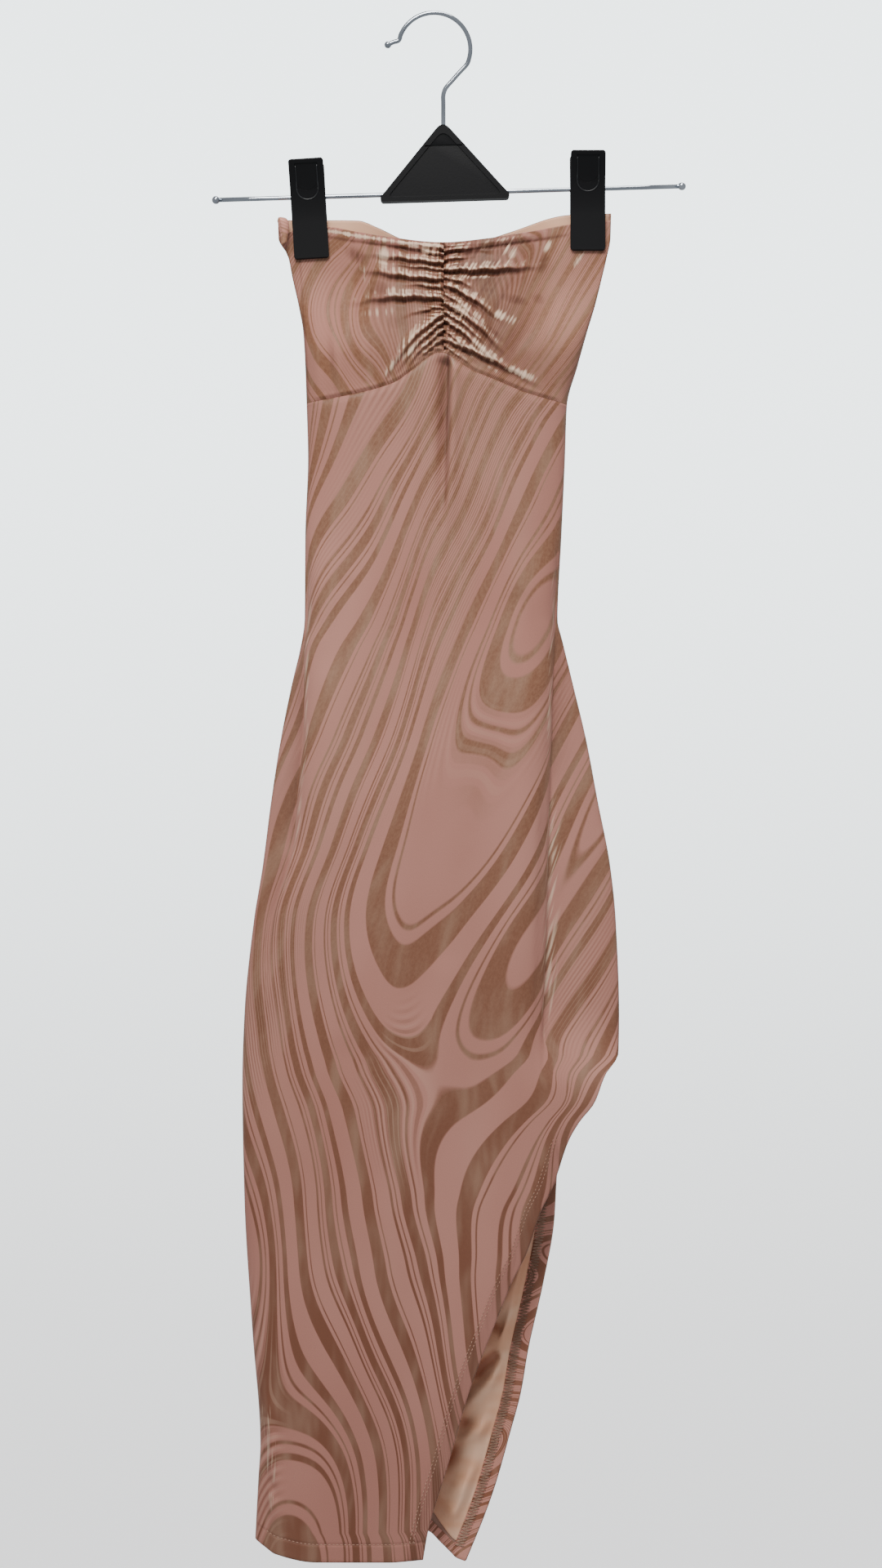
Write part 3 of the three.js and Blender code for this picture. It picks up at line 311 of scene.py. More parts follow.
def gathers(x, z):
    """The gathers' height, how near a place is to a gather's lip, and how deep in the shade below one.

    Each gather rises gently, ends in a lip and falls steeply into the crease below it.
    """
    side = np.where(x < MIDDLE_X, -1, 1)
    away = np.abs(x - MIDDLE_X)
    top, bottom = neck_front(MIDDLE_X), under_bust(MIDDLE_X)
    height, lip, below = np.zeros_like(x), np.zeros_like(x), np.zeros_like(x)
    for seam_z, end_x, end_z, sag, width, rise in GATHERS:
        reach = end_x - MIDDLE_X
        share = away / abs(reach)
        wander = 0.45 * np.sin(0.38 * away + seam_z) + 0.22 * np.sin(1.25 * away + 2 * seam_z)
        crest = lerp(seam_z, end_z, share) + sag * 4 * share * (1 - share) + wander
        slope = (end_z - seam_z + sag * 4 * (1 - 2 * share)) / reach
        off = (z - crest) / np.hypot(1, slope)
        wide = width * lerp(0.6, 1.15, np.minimum(share, 1))
        upper = bell(np.maximum(off, 0), 2.3 * wide)
        lower = bell(np.minimum(off, 0), 0.6 * wide)
        crease = 0.55 * bell(off + 1.25 * wide, 0.65 * wide)
        fade = (1 - smooth(0.4, 1.2, share)) * (side == np.sign(reach))
        height += rise * fade * (upper * lower - crease)
        strength = fade * min(rise / 2.6, 1)
        lip = np.maximum(lip, strength * bell(off - 0.5 * wide, 0.62 * wide))
        below = np.maximum(below, strength * bell(off + 1.3 * wide, 0.9 * wide))
    share = (z - top) / (bottom - top)
    inside = smooth(0, 3, neck_front(x) - z) * smooth(0, 4, z - under_bust(x))
    phase = FINE_GATHERS * share + 0.25 * side + 0.3 * np.sin(9 * share)
    puckers = 1 - 2 * np.abs(np.sin(math.pi * phase)) ** 0.7
    height -= 1.6 * puckers * bell(away, 4.5)
    second = np.cos(2 * math.pi * (phase * 1.7 + 0.4 * side + 0.04 * away))
    height += 0.5 * second * bell(away - 8, 9)
    height -= 3.4 * bell(away, 2.0)
    return height * inside, lip * inside, below * inside


def gather_height(x, z):
    return gathers(x, z)[0]


def centre_pleat(x, z):
    """The fold that falls from the point of the bust seam: a soft slope and then a steep step."""
    off = x - pleat_x(z)
    depth = 7.0 * smooth(*PLEAT_FADE, z) * smooth(2, 8, under_bust(x) - z)
    gentle = bell(np.minimum(off, 0), 6.5)
    steep = bell(np.maximum(off, 0), 1.5)
    ridge = bell(off - 5, 3.6)
    return depth * (0.35 * ridge - gentle * steep)


def front_relief(x, z):
    band = neck_front(x) - z
    neck = 1.5 * bell(band - 3.2, 2.3) - 1.1 * bell(band - NECK_BAND - 0.8, 1.1)
    under = z - under_bust(x)
    scallop = 0.5 + 0.5 * np.sin(1.15 * x + 1.5 * np.sin(0.13 * x))
    seam = -1.2 * bell(under, 1.8) + 0.45 * scallop * bell(under - 2.6, 1.7)
    hem = z - hem_front(x)
    turned = 0.3 * smooth(14.2, 12.4, hem) - 0.45 * bell(hem - HEM_STITCH_UP, 0.9)
    edge = slit_front(z) - x
    edge_turn = 0.3 * smooth(13, 11.2, edge) - 0.4 * bell(edge - SLIT_STITCH_IN - 1.3, 1.6)
    hems = turned * (hem < 30) + edge_turn * smooth(SLIT_OPEN_Z, SLIT_EDGE_Z, z)
    return gather_height(x, z) + centre_pleat(x, z) + fold_height(FRONT_FOLDS, x, z) + neck + seam + hems


class Half:
    """The front or the back of the dress: its edges, its depth and which way it faces."""

    def __init__(self, facing):
        self.facing = facing
        self.front = facing < 0

    def right(self, z):
        return np.minimum(outline_right(z), slit_front(z) if self.front else slit_back(z))

    def fold_in(self, left_side, z):
        if not self.front:
            return np.full_like(z, EDGE_ROLL + 9)
        into = np.where(left_side, edge_left(z) - outline_left(z), outline_right(z) - edge_right(z))
        return np.maximum(into, EDGE_ROLL + 0.6)

    def middle(self, z):
        between = (outline_left(z) + self.right(z)) / 2
        return lerp(MIDDLE_X, between, smooth(-420, -700, z))

    def stand_off(self, x, z):
        """How far the outer face stands from the middle plane."""
        left, right, middle = outline_left(z), outline_right(z), self.middle(z)
        left_side = x < middle
        into = np.maximum(np.where(left_side, x - left, right - x), 0)
        width = np.where(left_side, middle - left, right - middle)
        free = np.where(left_side, 0, slit_opening(z))
        roll = EDGE_ROLL * lerp(quarter(into / EDGE_ROLL), 1, free)
        sweep = lerp(section(1 - into / width), 1, free)
        strength = np.where(left_side, fold_left(z), fold_right(z)) if self.front else 0
        fold = strength * (1 - WING_SHARE)
        step = quarter((into - self.fold_in(left_side, z)) / FOLD_ROLL)
        shape = sweep * (1 - fold) + step * fold
        relief = front_relief(x, z) if self.front else fold_height(BACK_FOLDS, x, z)
        deep = depth_front(z) if self.front else depth_back(z)
        near = lerp(smooth(1, 14, into), 1, free)
        room = 0 if self.front else LINING_ROOM * smooth(0, 5, into) * smooth(-260, -190, z)
        return SEAM_Y + roll + room + (1 - clip_grip(x, z)) * (deep * shape + near * relief)

    def across(self, column, z):
        """x of a column, from -1 at the left seam through 0 at the middle to 1 at the right edge."""
        left_side = column < 0
        edge = np.where(left_side, outline_left(z), self.right(z))
        middle = self.middle(z)
        width = np.abs(middle - edge)
        share = 1 - np.abs(column)
        roll_share, wing_share = 0.06, 0.2
        fold_in = self.fold_in(left_side, z)
        into = EDGE_ROLL * (1 - np.cos(math.pi / 2 * np.minimum(share / roll_share, 1)))
        wing = np.clip((share - roll_share) / (wing_share - roll_share), 0, 1)
        into = np.where(share > roll_share, lerp(EDGE_ROLL, fold_in, wing), into)
        inner = np.clip((share - wing_share) / (1 - wing_share), 0, 1)
        eased = lerp(inner * inner * (3 - 2 * inner), inner, 0.35)
        into = np.where(share > wing_share, lerp(fold_in, width, eased), into)
        free = np.where(left_side, 0, slit_opening(z))
        return edge + np.where(left_side, 1, -1) * lerp(into, width * share, free)

    def point(self, column, z):
        x = self.across(column, z)
        return np.stack([x, self.facing * self.stand_off(x, z), z], axis=-1)

    def face(self, column, z):
        """Outer face points and outward directions on a grid of columns and heights."""
        step = 2e-4
        before = self.point(np.maximum(column - step, -1), z)
        after = self.point(np.minimum(column + step, 1), z)
        rise = self.point(column, z + 0.05) - self.point(column, z - 0.05)
        outward = np.cross(after - before, rise)
        outward /= np.linalg.norm(outward, axis=-1, keepdims=True)
        return self.point(column, z), outward * (1 if self.front else -1)

    def column_at(self, x, z):
        low, high = np.full_like(x, -1.0), np.full_like(x, 1.0)
        for _ in range(SEARCH_STEPS):
            middle = (low + high) / 2
            under = self.across(middle, z) < x
            low, high = np.where(under, middle, low), np.where(under, high, middle)
        return (low + high) / 2


FRONT = Half(-1)
BACK = Half(1)
root = bpy.context.scene.collection


def new_object(name, mesh, *materials):
    piece = bpy.data.objects.new(name, mesh)
    root.objects.link(piece)
    for material in materials:
        piece.data.materials.append(material)
    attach(piece, "root")
    return piece


def shade_smooth(mesh):
    mesh.polygons.foreach_set("use_smooth", np.ones(len(mesh.polygons), dtype=bool))
    mesh.update()


def arc_lengths(points):
    steps = np.linalg.norm(np.diff(points, axis=1), axis=-1)
    return np.concatenate([np.zeros((len(points), 1)), np.cumsum(steps, axis=1)], axis=1)


def sheet_between(name, outer, inner, place, front, cloth, backing):
    """A closed sheet between two grids of points, with the backing on its inner face."""
    rows, columns = outer.shape[:2]
    count = rows * columns
    grid = np.arange(count).reshape(rows, columns)
    a, b = grid[:-1, :-1].ravel(), grid[1:, :-1].ravel()
    c, d = grid[1:, 1:].ravel(), grid[:-1, 1:].ravel()
    outside = np.stack([a, b, c, d] if front else [a, d, c, b], axis=1)
    inside = outside[:, ::-1] + count
    loop = np.concatenate([grid[0, :-1], grid[:-1, -1], grid[-1, :0:-1], grid[:0:-1, 0]])
    flat_outer, flat_inner = outer.reshape(-1, 3), inner.reshape(-1, 3)
    near = np.clip(loop // columns, 1, rows - 2) * columns + np.clip(loop % columns, 1, columns - 2)
    away = flat_outer[loop] - flat_outer[near]
    away /= np.linalg.norm(away, axis=1, keepdims=True) + 1e-9
    thick = np.linalg.norm(flat_outer[loop] - flat_inner[loop], axis=1, keepdims=True)
    rim = (flat_outer[loop] + flat_inner[loop]) / 2 + away * thick * 0.35
    ring = np.arange(len(loop)) + 2 * count
    following = np.roll(np.arange(len(loop)), -1)
    first = np.stack([loop, loop[following], ring[following], ring], axis=1)
    second = np.stack([ring, ring[following], loop[following] + count, loop + count], axis=1)
    edge = np.concatenate([first, second])
    faces = np.concatenate([outside, inside, edge if front else edge[:, ::-1]])
    mesh = bpy.data.meshes.new(name)
    mesh.from_pydata((np.concatenate([flat_outer, flat_inner, rim]) * MM).tolist(), [], faces.tolist())
    flat_place = place.reshape(-1, 2)
    spots = np.concatenate([flat_place, flat_place, flat_place[loop]]) * MM
    layer = mesh.uv_layers.new(name="cloth")
    corners = np.empty(len(mesh.loops), dtype=np.int64)
    mesh.loops.foreach_get("vertex_index", corners)
    layer.data.foreach_set("uv", spots[corners].ravel())
    parts = [len(outside), len(inside), len(edge)]
    mesh.polygons.foreach_set("material_index", np.repeat([0, 1, 2], parts).astype(np.int32))
    shade_smooth(mesh)
    piece = new_object(name, mesh, cloth, backing, cloth)
    width = float(np.median(arc_lengths(outer)[:, -1])) * MM
    heights = np.linalg.norm(np.diff(outer, axis=0), axis=-1).sum(axis=0)
    crossed = np.cross(outer[1:, 1:] - outer[:-1, :-1], outer[1:, :-1] - outer[:-1, 1:])
    area = float(np.linalg.norm(crossed, axis=-1).sum() / 2) * MM * MM
    piece["cloth_size"] = (width, float(np.median(heights)) * MM, area)
    return piece


def shade_layer(piece, name, outer_values):
    """Stores a value for each point of a sheet's grid, the same on both faces, for its material to read."""
    mesh = piece.data
    flat = outer_values.ravel()
    values = np.zeros(len(mesh.vertices))
    values[:2 * len(flat)] = np.tile(flat, 2)
    mesh.attributes.new(name, "FLOAT", "POINT").data.foreach_set("value", values)


def eased_down(values, reach=9, passes=3):
    """Values averaged with those above and below, so that small ripples don't shift the pattern."""
    for _ in range(passes):
        padded = np.pad(values, ((reach, reach), (0, 0)), mode="reflect", reflect_type="odd")
        total = np.cumsum(np.vstack([np.zeros((1, values.shape[1])), padded]), axis=0)
        values = (total[2 * reach + 1:] - total[:-2 * reach - 1]) / (2 * reach + 1)
    return values


def cloth_sheet(name, half, column, z, cloth, backing, inset=0.0, wall=WALL):
    """A sheet of cloth that follows one half of the dress over a grid of columns and heights."""
    face, outward = half.face(column, z)
    inset = np.broadcast_to(inset, z.shape)[..., None]
    outer = face - outward * inset
    inner = face - outward * (inset + wall)
    lengths = arc_lengths(outer)
    middle = z.shape[1] // 2
    lengths = eased_down(lengths - lengths[:, [middle]] + outer[:, [middle], 0])
    return sheet_between(name, outer, inner, np.stack([lengths, z], -1), half.front, cloth, backing)


def grid_between(half, columns, rows, top, bottom):
    """Heights on each column, a share of the way from one edge curve to another."""
    column, share = np.meshgrid(columns, rows)
    z = np.full_like(column, -600.0)
    for _ in range(SETTLE_STEPS):
        x = half.across(column, z)
        z = lerp(top(x), bottom(x), share)
    return column, z


# Materials


def linear(red, green, blue):
    """A colour given as sRGB from 0 to 255."""
    shares = [value / 255 for value in (red, green, blue)]
    return tuple(s / 12.92 if s <= 0.04045 else ((s + 0.055) / 1.055) ** 2.4 for s in shares) + (1.0,)


class Nodes:
    """A material's node tree, with short ways to add to it."""

    def __init__(self, name, **constants):
        self.material = bpy.data.materials.new(name)
        self.material.use_nodes = True
        self.tree = self.material.node_tree
        self.shader = self.tree.nodes["Principled BSDF"]
        for socket, value in constants.items():
            self.shader.inputs[socket.replace("_", " ")].default_value = value

    def add(self, kind, settings=None, **inputs):
        node = self.tree.nodes.new("ShaderNode" + kind)
        for key, value in (settings or {}).items():
            setattr(node, key, value)
        for key, value in inputs.items():
            self.put(node.inputs[key.replace("_", " ")], value)
        return node

    def put(self, socket, value):
        if isinstance(value, bpy.types.NodeSocket):
            self.tree.links.new(value, socket)
        else:
            socket.default_value = value

    def math(self, operation, first, second=0.0, third=0.0):
        node = self.add("Math", {"operation": operation})
        for socket, value in zip(node.inputs, (first, second, third)):
            self.put(socket, value)
        return node.outputs[0]

    def step(self, value, start, end):
        """0 below start and 1 above end, smooth between."""
        settings = {"interpolation_type": "SMOOTHSTEP"}
        node = self.add("MapRange", settings, Value=value, From_Min=start, From_Max=end)
        return node.outputs["Result"]

    def mix(self, share, first, second, blend="MIX"):
        node = self.add("Mix", {"data_type": "RGBA", "blend_type": blend})
        for place, value in ((0, share), (6, first), (7, second)):
            self.put(node.inputs[place], value)
        return node.outputs[2]

    def scaled(self, vector, x, y, z=1.0, shift=(0.0, 0.0, 0.0)):
        node = self.add("Mapping", Vector=vector, Scale=(x, y, z), Location=shift)
        return node.outputs[0]

    def noise(self, vector, detail=1.0, roughness=0.5):
        node = self.add("TexNoise", Vector=vector, Scale=1.0, Detail=detail, Roughness=roughness)
        return node.outputs["Fac"]

    def finished(self, colour, roughness, height, strength, distance):
        """The material with a colour, a roughness and a fine relief."""
        relief = self.add("Bump", Strength=strength, Distance=distance, Height=height).outputs[0]
        for socket, value in (("Base Color", colour), ("Roughness", roughness), ("Normal", relief)):
            self.put(self.shader.inputs[socket], value)
        return self.material

    def attribute(self, name):
        """A layer stored by shade_layer, 0 where the mesh has none."""
        return self.add("Attribute", {"attribute_name": name}).outputs["Fac"]

    def cloth(self):
        return self.add("UVMap", {"uv_map": "cloth"}).outputs[0]

    def place(self):
        return self.add("TexCoord").outputs["Object"]


PINK = linear(182, 127, 113)
PINK_DEEP = linear(169, 114, 100)
BROWN = linear(128, 84, 61)
BROWN_LIGHT = linear(141, 98, 74)
BROWN_SHADED_LOW = linear(117, 70, 49)
PALE = linear(206, 168, 144)
HIGHLIGHT = linear(236, 204, 176)
PAINTED_SHEEN = linear(184, 152, 128)
PAINTED_CLOTH_SHADE = linear(172, 92, 62)
SHADOW = linear(78, 42, 30)
# Brown bands in one repeat of the marbling, as shares of its width
BANDS = [(0.02, 0.05), (0.085, 0.1), (0.145, 0.255), (0.29, 0.305), (0.37, 0.45), (0.65, 0.8), (0.84, 0.855)]
BAND_EDGE = 0.003


def band_ramp(m, phase):
    """1 inside the bands of a repeat and 0 between them."""
    node = m.add("ValToRGB", Fac=m.math("FRACT", phase))
    ramp = node.color_ramp
    ramp.elements[0].position, ramp.elements[1].position = 0.0, 1.0
    ramp.elements[0].color = ramp.elements[1].color = (0, 0, 0, 1)
    for start, end in BANDS:
        for position, level in ((start - BAND_EDGE, 0), (start + BAND_EDGE, 1), (end - BAND_EDGE, 1),
                                (end + BAND_EDGE, 0)):
            ramp.elements.new(position).color = (level, level, level, 1)
    return node.outputs["Color"]


def velvet(name, repeats_per_metre, bends, roughness_pink, roughness_brown, sheen, shift, combed=0.5,
           lean=0.0, slant=0.0, lift=1.0, specular=0.5):
    """Dusty pink pile with marbled brown bands that run down the cloth, bend and close into islands."""
    m = Nodes(name, Sheen_Weight=sheen, Sheen_Roughness=0.35, Sheen_Tint=linear(236, 205, 190), IOR=1.45,
              Specular_IOR_Level=specular)
    straight = m.add("SeparateXYZ", Vector=m.cloth())
    leaning = m.math("MULTIPLY_ADD", m.step(straight.outputs[1], -0.36, -0.8), lean, straight.outputs[0])
    leaning = m.math("MULTIPLY_ADD", straight.outputs[1], -slant, leaning)
    uv = m.add("CombineXYZ", X=leaning, Y=straight.outputs[1]).outputs[0]
    phase = m.add("SeparateXYZ", Vector=m.scaled(uv, repeats_per_metre, 1)).outputs[0]
    for across, down, amount in bends:
        bend = m.noise(m.scaled(uv, across, down, shift=(shift, shift * 0.7 + across, 0)), 0.0)
        phase = m.math("MULTIPLY_ADD", m.math("SUBTRACT", bend, 0.5), amount, phase)
    phase = m.math("ADD", phase, 20.0)
    band = band_ramp(m, phase)
    hairs = m.math("SINE", m.math("MULTIPLY", phase, 2 * math.pi * 24))
    combing = m.noise(m.scaled(uv, 11, 4.5, shift=(shift, 1.7, 4.4)), 0.5)
    gathered = m.attribute("gathered")
    hair_zone = m.math("MAXIMUM", m.step(combing, combed, combed + 0.12), gathered)
    brown_hair = m.math("MULTIPLY", m.math("MULTIPLY", m.step(hairs, 0.15, 0.7), hair_zone), 0.6)
    pale_hair = m.math("MULTIPLY", m.math("MULTIPLY", m.step(hairs, -0.5, -0.9), hair_zone), 0.22)
    brown = m.math("MAXIMUM", band, m.math("MULTIPLY_ADD", gathered, 0.45, brown_hair))

    pile = m.noise(m.scaled(uv, 1500, 1100), 2.0, 0.7)
    grain = m.noise(m.scaled(uv, 520, 300, shift=(shift, 0, 1.1)), 2.5, 0.65)
    nap = m.noise(m.scaled(uv, 9, 5, shift=(1.3, shift, 2.2)), 2.0)
    pink = m.mix(m.step(nap, 0.3, 0.7), PINK, PINK_DEEP)
    # Painted shade: the brown bands darken towards the hem, where the light from above falls off.
    down = m.step(straight.outputs[1], -0.45, -1.05)
    browns = m.mix(m.step(grain, 0.3, 0.7), BROWN, BROWN_LIGHT)
    browns = m.mix(down, browns, BROWN_SHADED_LOW)
    # Painted sheen: pale streaky patches over the brown bands.
    band_sheen = m.step(m.noise(m.scaled(uv, 60, 14, shift=(3.1, shift, 0)), 2.0, 0.6), 0.4, 0.72)
    browns = m.mix(m.math("MULTIPLY", band_sheen, 0.28), browns, PAINTED_SHEEN)
    colour = m.mix(brown, pink, browns)
    # Painted sheen: a faint pale haze over all the cloth.
    sheen_haze = m.step(m.noise(m.scaled(uv, 26, 3.0, shift=(0.4, shift, 0)), 1.5, 0.6), 0.5, 0.8)
    colour = m.mix(m.math("MULTIPLY", sheen_haze, 0.12), colour, PAINTED_SHEEN)
    colour = m.mix(pale_hair, colour, PALE)
    # Painted highlights: the HIGHLIGHT colour, streaked, where the crest layer is high. Painted shade: the
    # SHADOW colour where the crease layer is high.
    crest = m.attribute("crest")
    crease = m.attribute("crease")
    streaks = m.step(m.noise(m.scaled(uv, 380, 26, shift=(shift, 4.1, 0)), 1.5, 0.6), 0.36, 0.64)
    painted_highlight = m.step(m.math("MULTIPLY_ADD", streaks, 0.5, crest), 0.55, 1.25)
    painted_highlight = m.math("MULTIPLY", painted_highlight, m.math("MULTIPLY_ADD", brown, 0.15, 0.8))
    painted_shade = m.math("MULTIPLY", crease, m.math("MULTIPLY_ADD", streaks, -0.3, 0.92))
    colour = m.mix(painted_highlight, m.mix(painted_shade, colour, SHADOW), HIGHLIGHT)
    level = m.math("MULTIPLY_ADD", m.math("SUBTRACT", pile, 0.5), 0.22, lift)
    level = m.add("CombineColor", Red=level, Green=level, Blue=level).outputs[0]
    rough = m.add("MapRange", Value=brown, To_Min=roughness_pink, To_Max=roughness_brown).outputs["Result"]
    raised = m.math("SUBTRACT", m.math("MULTIPLY", pile, 0.5), m.math("MULTIPLY", brown, 0.5))
    return m.finished(m.mix(1.0, colour, level, "MULTIPLY"), rough, raised, 0.3, 0.0004)


def smooth_cloth(name, light, dark, roughness, sheen, creases=0.35):
    """A thin plain cloth with a fine weave and soft wrinkles, and painted shade where its crease layer is
    high.
    """
    m = Nodes(name, Sheen_Weight=sheen, Sheen_Roughness=0.4, IOR=1.45)
    uv = m.cloth()
    wrinkle = m.noise(m.scaled(uv, 22, 48), 2.0, 0.55)
    thread = m.noise(m.scaled(uv, 1800, 1800), 1.0)
    crease = m.attribute("crease")
    colour = m.mix(crease, m.mix(m.step(wrinkle, 0.32, 0.66), linear(*light), linear(*dark)), PAINTED_CLOTH_SHADE)
    height = m.math("MULTIPLY_ADD", thread, 0.06, wrinkle)
    return m.finished(colour, m.math("MULTIPLY_ADD", thread, 0.12, roughness), height, creases, 0.002)


def solid_finish(name, light, dark, roughness, metallic=0.0, scale=400.0, bump=0.08, **constants):
    """A moulded, plated or spun surface with slight unevenness."""
    m = Nodes(name, Metallic=metallic, **constants)
    place = m.place()
    patches = m.noise(m.scaled(place, 25, 25, 25), 2.0)
    grain = m.noise(m.scaled(place, scale, scale, scale), 2.0)
    colour = m.mix(m.step(patches, 0.3, 0.7), linear(*light), linear(*dark))
    return m.finished(colour, m.math("MULTIPLY_ADD", patches, 0.1, roughness), grain, bump, 0.0004)


BACK_BENDS = ((2.2, 1.5, 6.0), (4.8, 2.6, 3.6), (10.0, 5.0, 0.9), (20.0, 9.0, 0.2))
SKIRT_BENDS = ((2.6, 1.3, 5.0), (5.5, 2.2, 4.0), (11.0, 5.0, 0.9), (20.0, 9.0, 0.2))
EDGE_BENDS = ((6.0, 11.0, 5.0), (14.0, 24.0, 0.9))
BUST_BENDS = ((5.0, 4.0, 3.4), (12.0, 8.0, 1.3), (30.0, 14.0, 0.25))
# lift scales a copy's brightness: 1.45 on the edge strips is painted light that offsets the shade they sit
# in; the left cup's copy is a little darker.
VELVET_BUST_LEFT = velvet("velvet_bust_left", 16, BUST_BENDS, 0.75, 0.45, 0.12, 1.9, combed=0.46,
                          lift=0.95, specular=0.22)
VELVET_BUST_RIGHT = velvet("velvet_bust_right", 16, BUST_BENDS, 0.72, 0.45, 0.12, 6.4, combed=0.46,
                           slant=0.6, specular=0.25)
VELVET_SKIRT = velvet("velvet_skirt", 10, SKIRT_BENDS, 0.8, 0.5, 0.25, 51.3, lean=0.12)
VELVET_BACK = velvet("velvet_back", 10, BACK_BENDS, 0.8, 0.5, 0.25, 23.5, lean=0.12)
VELVET_EDGE = velvet("velvet_edge", 12, EDGE_BENDS, 0.8, 0.5, 0.25, 31.8, lift=1.45)
BACKING = smooth_cloth("velvet_wrong_side", (178, 140, 124), (160, 120, 104), 0.8, 0.1, 0.1)
LINING_TOP_CLOTH = smooth_cloth("peach_lining_top", (228, 178, 144), (216, 164, 130), 0.6, 0.05, 0.12)
LINING_CLOTH = smooth_cloth("peach_lining", (255, 205, 170), (242, 180, 142), 0.4, 0.15)
THREAD = solid_finish("sewing_thread", (184, 142, 122), (164, 122, 102), 0.65, scale=3000)
OVERLOCK = solid_finish("overlock_thread", (182, 146, 124), (136, 102, 82), 0.65, scale=3000)
THREAD_PEACH = solid_finish("lining_thread", (150, 108, 86), (132, 92, 72), 0.65, scale=3000)
CHROME = solid_finish("chrome", (190, 196, 203), (150, 156, 164), 0.08, 1.0, bump=0.01)
PLASTIC = solid_finish("black_plastic", (9, 9, 11), (6, 6, 8), 0.42, scale=900, bump=0.1,
                       Specular_IOR_Level=0.22)
# A lighter plastic for the thumb rest's rim: a painted highlight.
PLASTIC_RIM_HIGHLIGHT = solid_finish("black_plastic_rim_highlight", (30, 31, 34), (20, 21, 23), 0.3, scale=900, bump=0.1)
STEEL = solid_finish("spring_steel", (160, 162, 165), (140, 142, 146), 0.25, 1.0)


# The cloth
rows = np.linspace(0, 1, 201)
side = np.linspace(0, 1, 131)


def shifted(curve, offset):
    return lambda x: curve(x) + offset


def painted_highlight_or_shade(x, z, sign):
    """How strongly a painted highlight shows, for a sign of 1, or painted shade, for -1."""
    level = np.zeros_like(x)
    for centre_x, centre_z, half_width, half_height, tilt, strength in PAINTED_HIGHLIGHTS_AND_SHADE:
        if strength * sign > 0:
            turn = math.radians(tilt)
            along = (x - centre_x) * math.cos(turn) + (z - centre_z) * math.sin(turn)
            off = (z - centre_z) * math.cos(turn) - (x - centre_x) * math.sin(turn)
            shape = (along / half_width) ** 2 + (off / half_height) ** 2
            level = np.maximum(level, abs(strength) * np.exp(-(shape ** 1.3)))
    return level


def gather_shades(piece, column, z):
    """Paints highlights on the gathers' lips and slopes and on the neck's rolled band, paints shade in their
    creases, below the band and towards the cups' middle, and marks where the cup's pattern is combed.
    """
    x = FRONT.across(column, z)
    height, lip, below = gathers(x, z)
    rise = (gather_height(x, z + 0.4) - gather_height(x, z - 0.4)) / 0.8
    band = neck_front(x) - z
    lit = np.interp(x, [-90, -80, -50, -30, 5, 7, 20, 60, 70], [0, 1, 1, 0.6, 0.9, 0.3, 0.15, 0.5, 0])
    roll = lit * bell(band - 2.8, 1.7)
    under_roll = 0.7 * bell(band - NECK_BAND - 0.8, 1.3) * smooth(104, 94, np.abs(x))
    slope_shine = 0.5 * smooth(0.0, -0.3, rise) * smooth(0.3, 1.8, height)
    shine = painted_highlight_or_shade(x, z, 1) * smooth(-1.5, 0.8, height)
    dashes = 0.72 + 0.28 * np.sin(1.35 * x + 0.5 * z)
    crest = np.maximum(np.maximum(slope_shine, lip * dashes), shine) + roll
    shade_layer(piece, "crest", np.clip(crest, 0, 1))
    painted_shade = 0.36 * smooth(0.35, 1.4, rise) + 0.4 * smooth(-0.6, -2.4, height) + 0.3 * below
    shaded = np.where(x < MIDDLE_X, 0.42 * bell(x + 8, 44), 0.75 * bell(x - 34, 40))
    painted_shade += shaded * smooth(0, 20, z - under_bust(x))
    # Painted shade along the side seam's fold line on the left cup.
    line_x = np.interp(z, [-281, -173], [-94, -101])
    painted_shade += 0.4 * bell(x - line_x, 0.9) + 0.2 * smooth(0, -4, x - line_x)
    marks = painted_highlight_or_shade(x, z, -1) * (1 - shine) * (1 - 0.5 * lip)
    combed = bell(x - MIDDLE_X, np.where(x < MIDDLE_X, 62, 74))
    shade_layer(piece, "gathered", combed * smooth(0, 9, band - NECK_BAND))
    shade_layer(piece, "crease", np.clip(np.maximum(painted_shade * (1 - lip), marks) + under_roll, 0, 1))


def skirt_shades(piece, column, z):
    """Paints shade in the centre fold, beside the folds that stand out at the hips, along the under-bust
    seam, the hem's stitch line and the slit's turned edge, and highlights on the fold edges, the hip ridge
    and the creased corner.
    """
    x = FRONT.across(column, z)
    off = x - pleat_x(z)
    fall = smooth(*PLEAT_FADE, z)
    crease = fall * (0.75 * bell(off, 1.7) + 0.3 * bell(off + 4.5, 4))
    crest = 0.1 * fall * bell(off - 5, 2.5)
    right_fold = fold_right(z) * smooth(-600, -540, z)
    for beyond, strength in ((edge_left(z) - x, fold_left(z)), (x - edge_right(z), right_fold)):
        crease += 0.5 * strength * smooth(-0.5, 1.5, beyond) * np.exp(-np.maximum(beyond, 0) / 11)
        crest += 0.4 * strength * bell(beyond + 2.5, 2)
    ridge = smooth(-560, -610, z) * smooth(-800, -720, z)
    crest += 0.5 * ridge * bell(x - edge_right(z) - 3, 6)
    crease += 0.25 * ridge * bell(x - edge_right(z) + 7, 3)
    crest += 0.34 * smooth(0.8, 2.6, fold_height(CORNER_FOLDS, x, z))
    crease += 0.35 * bell(z - under_bust(x) + 1, 1.2)
    hem = z - hem_front(x)
    crease += 0.35 * bell(hem - HEM_STITCH_UP, 0.9) + 0.25 * bell(hem, 1.5)
    edge = slit_front(z) - x
    at_edge = 0.34 * smooth(11, 8.5, edge) + 0.2 * bell(edge - SLIT_STITCH_IN - 1.3, 1.6)
    crease += at_edge * smooth(SLIT_OPEN_Z, SLIT_EDGE_Z, z)
    shade_layer(piece, "crest", np.clip(crest, 0, 1))
    shade_layer(piece, "crease", np.clip(crease, 0, 1))


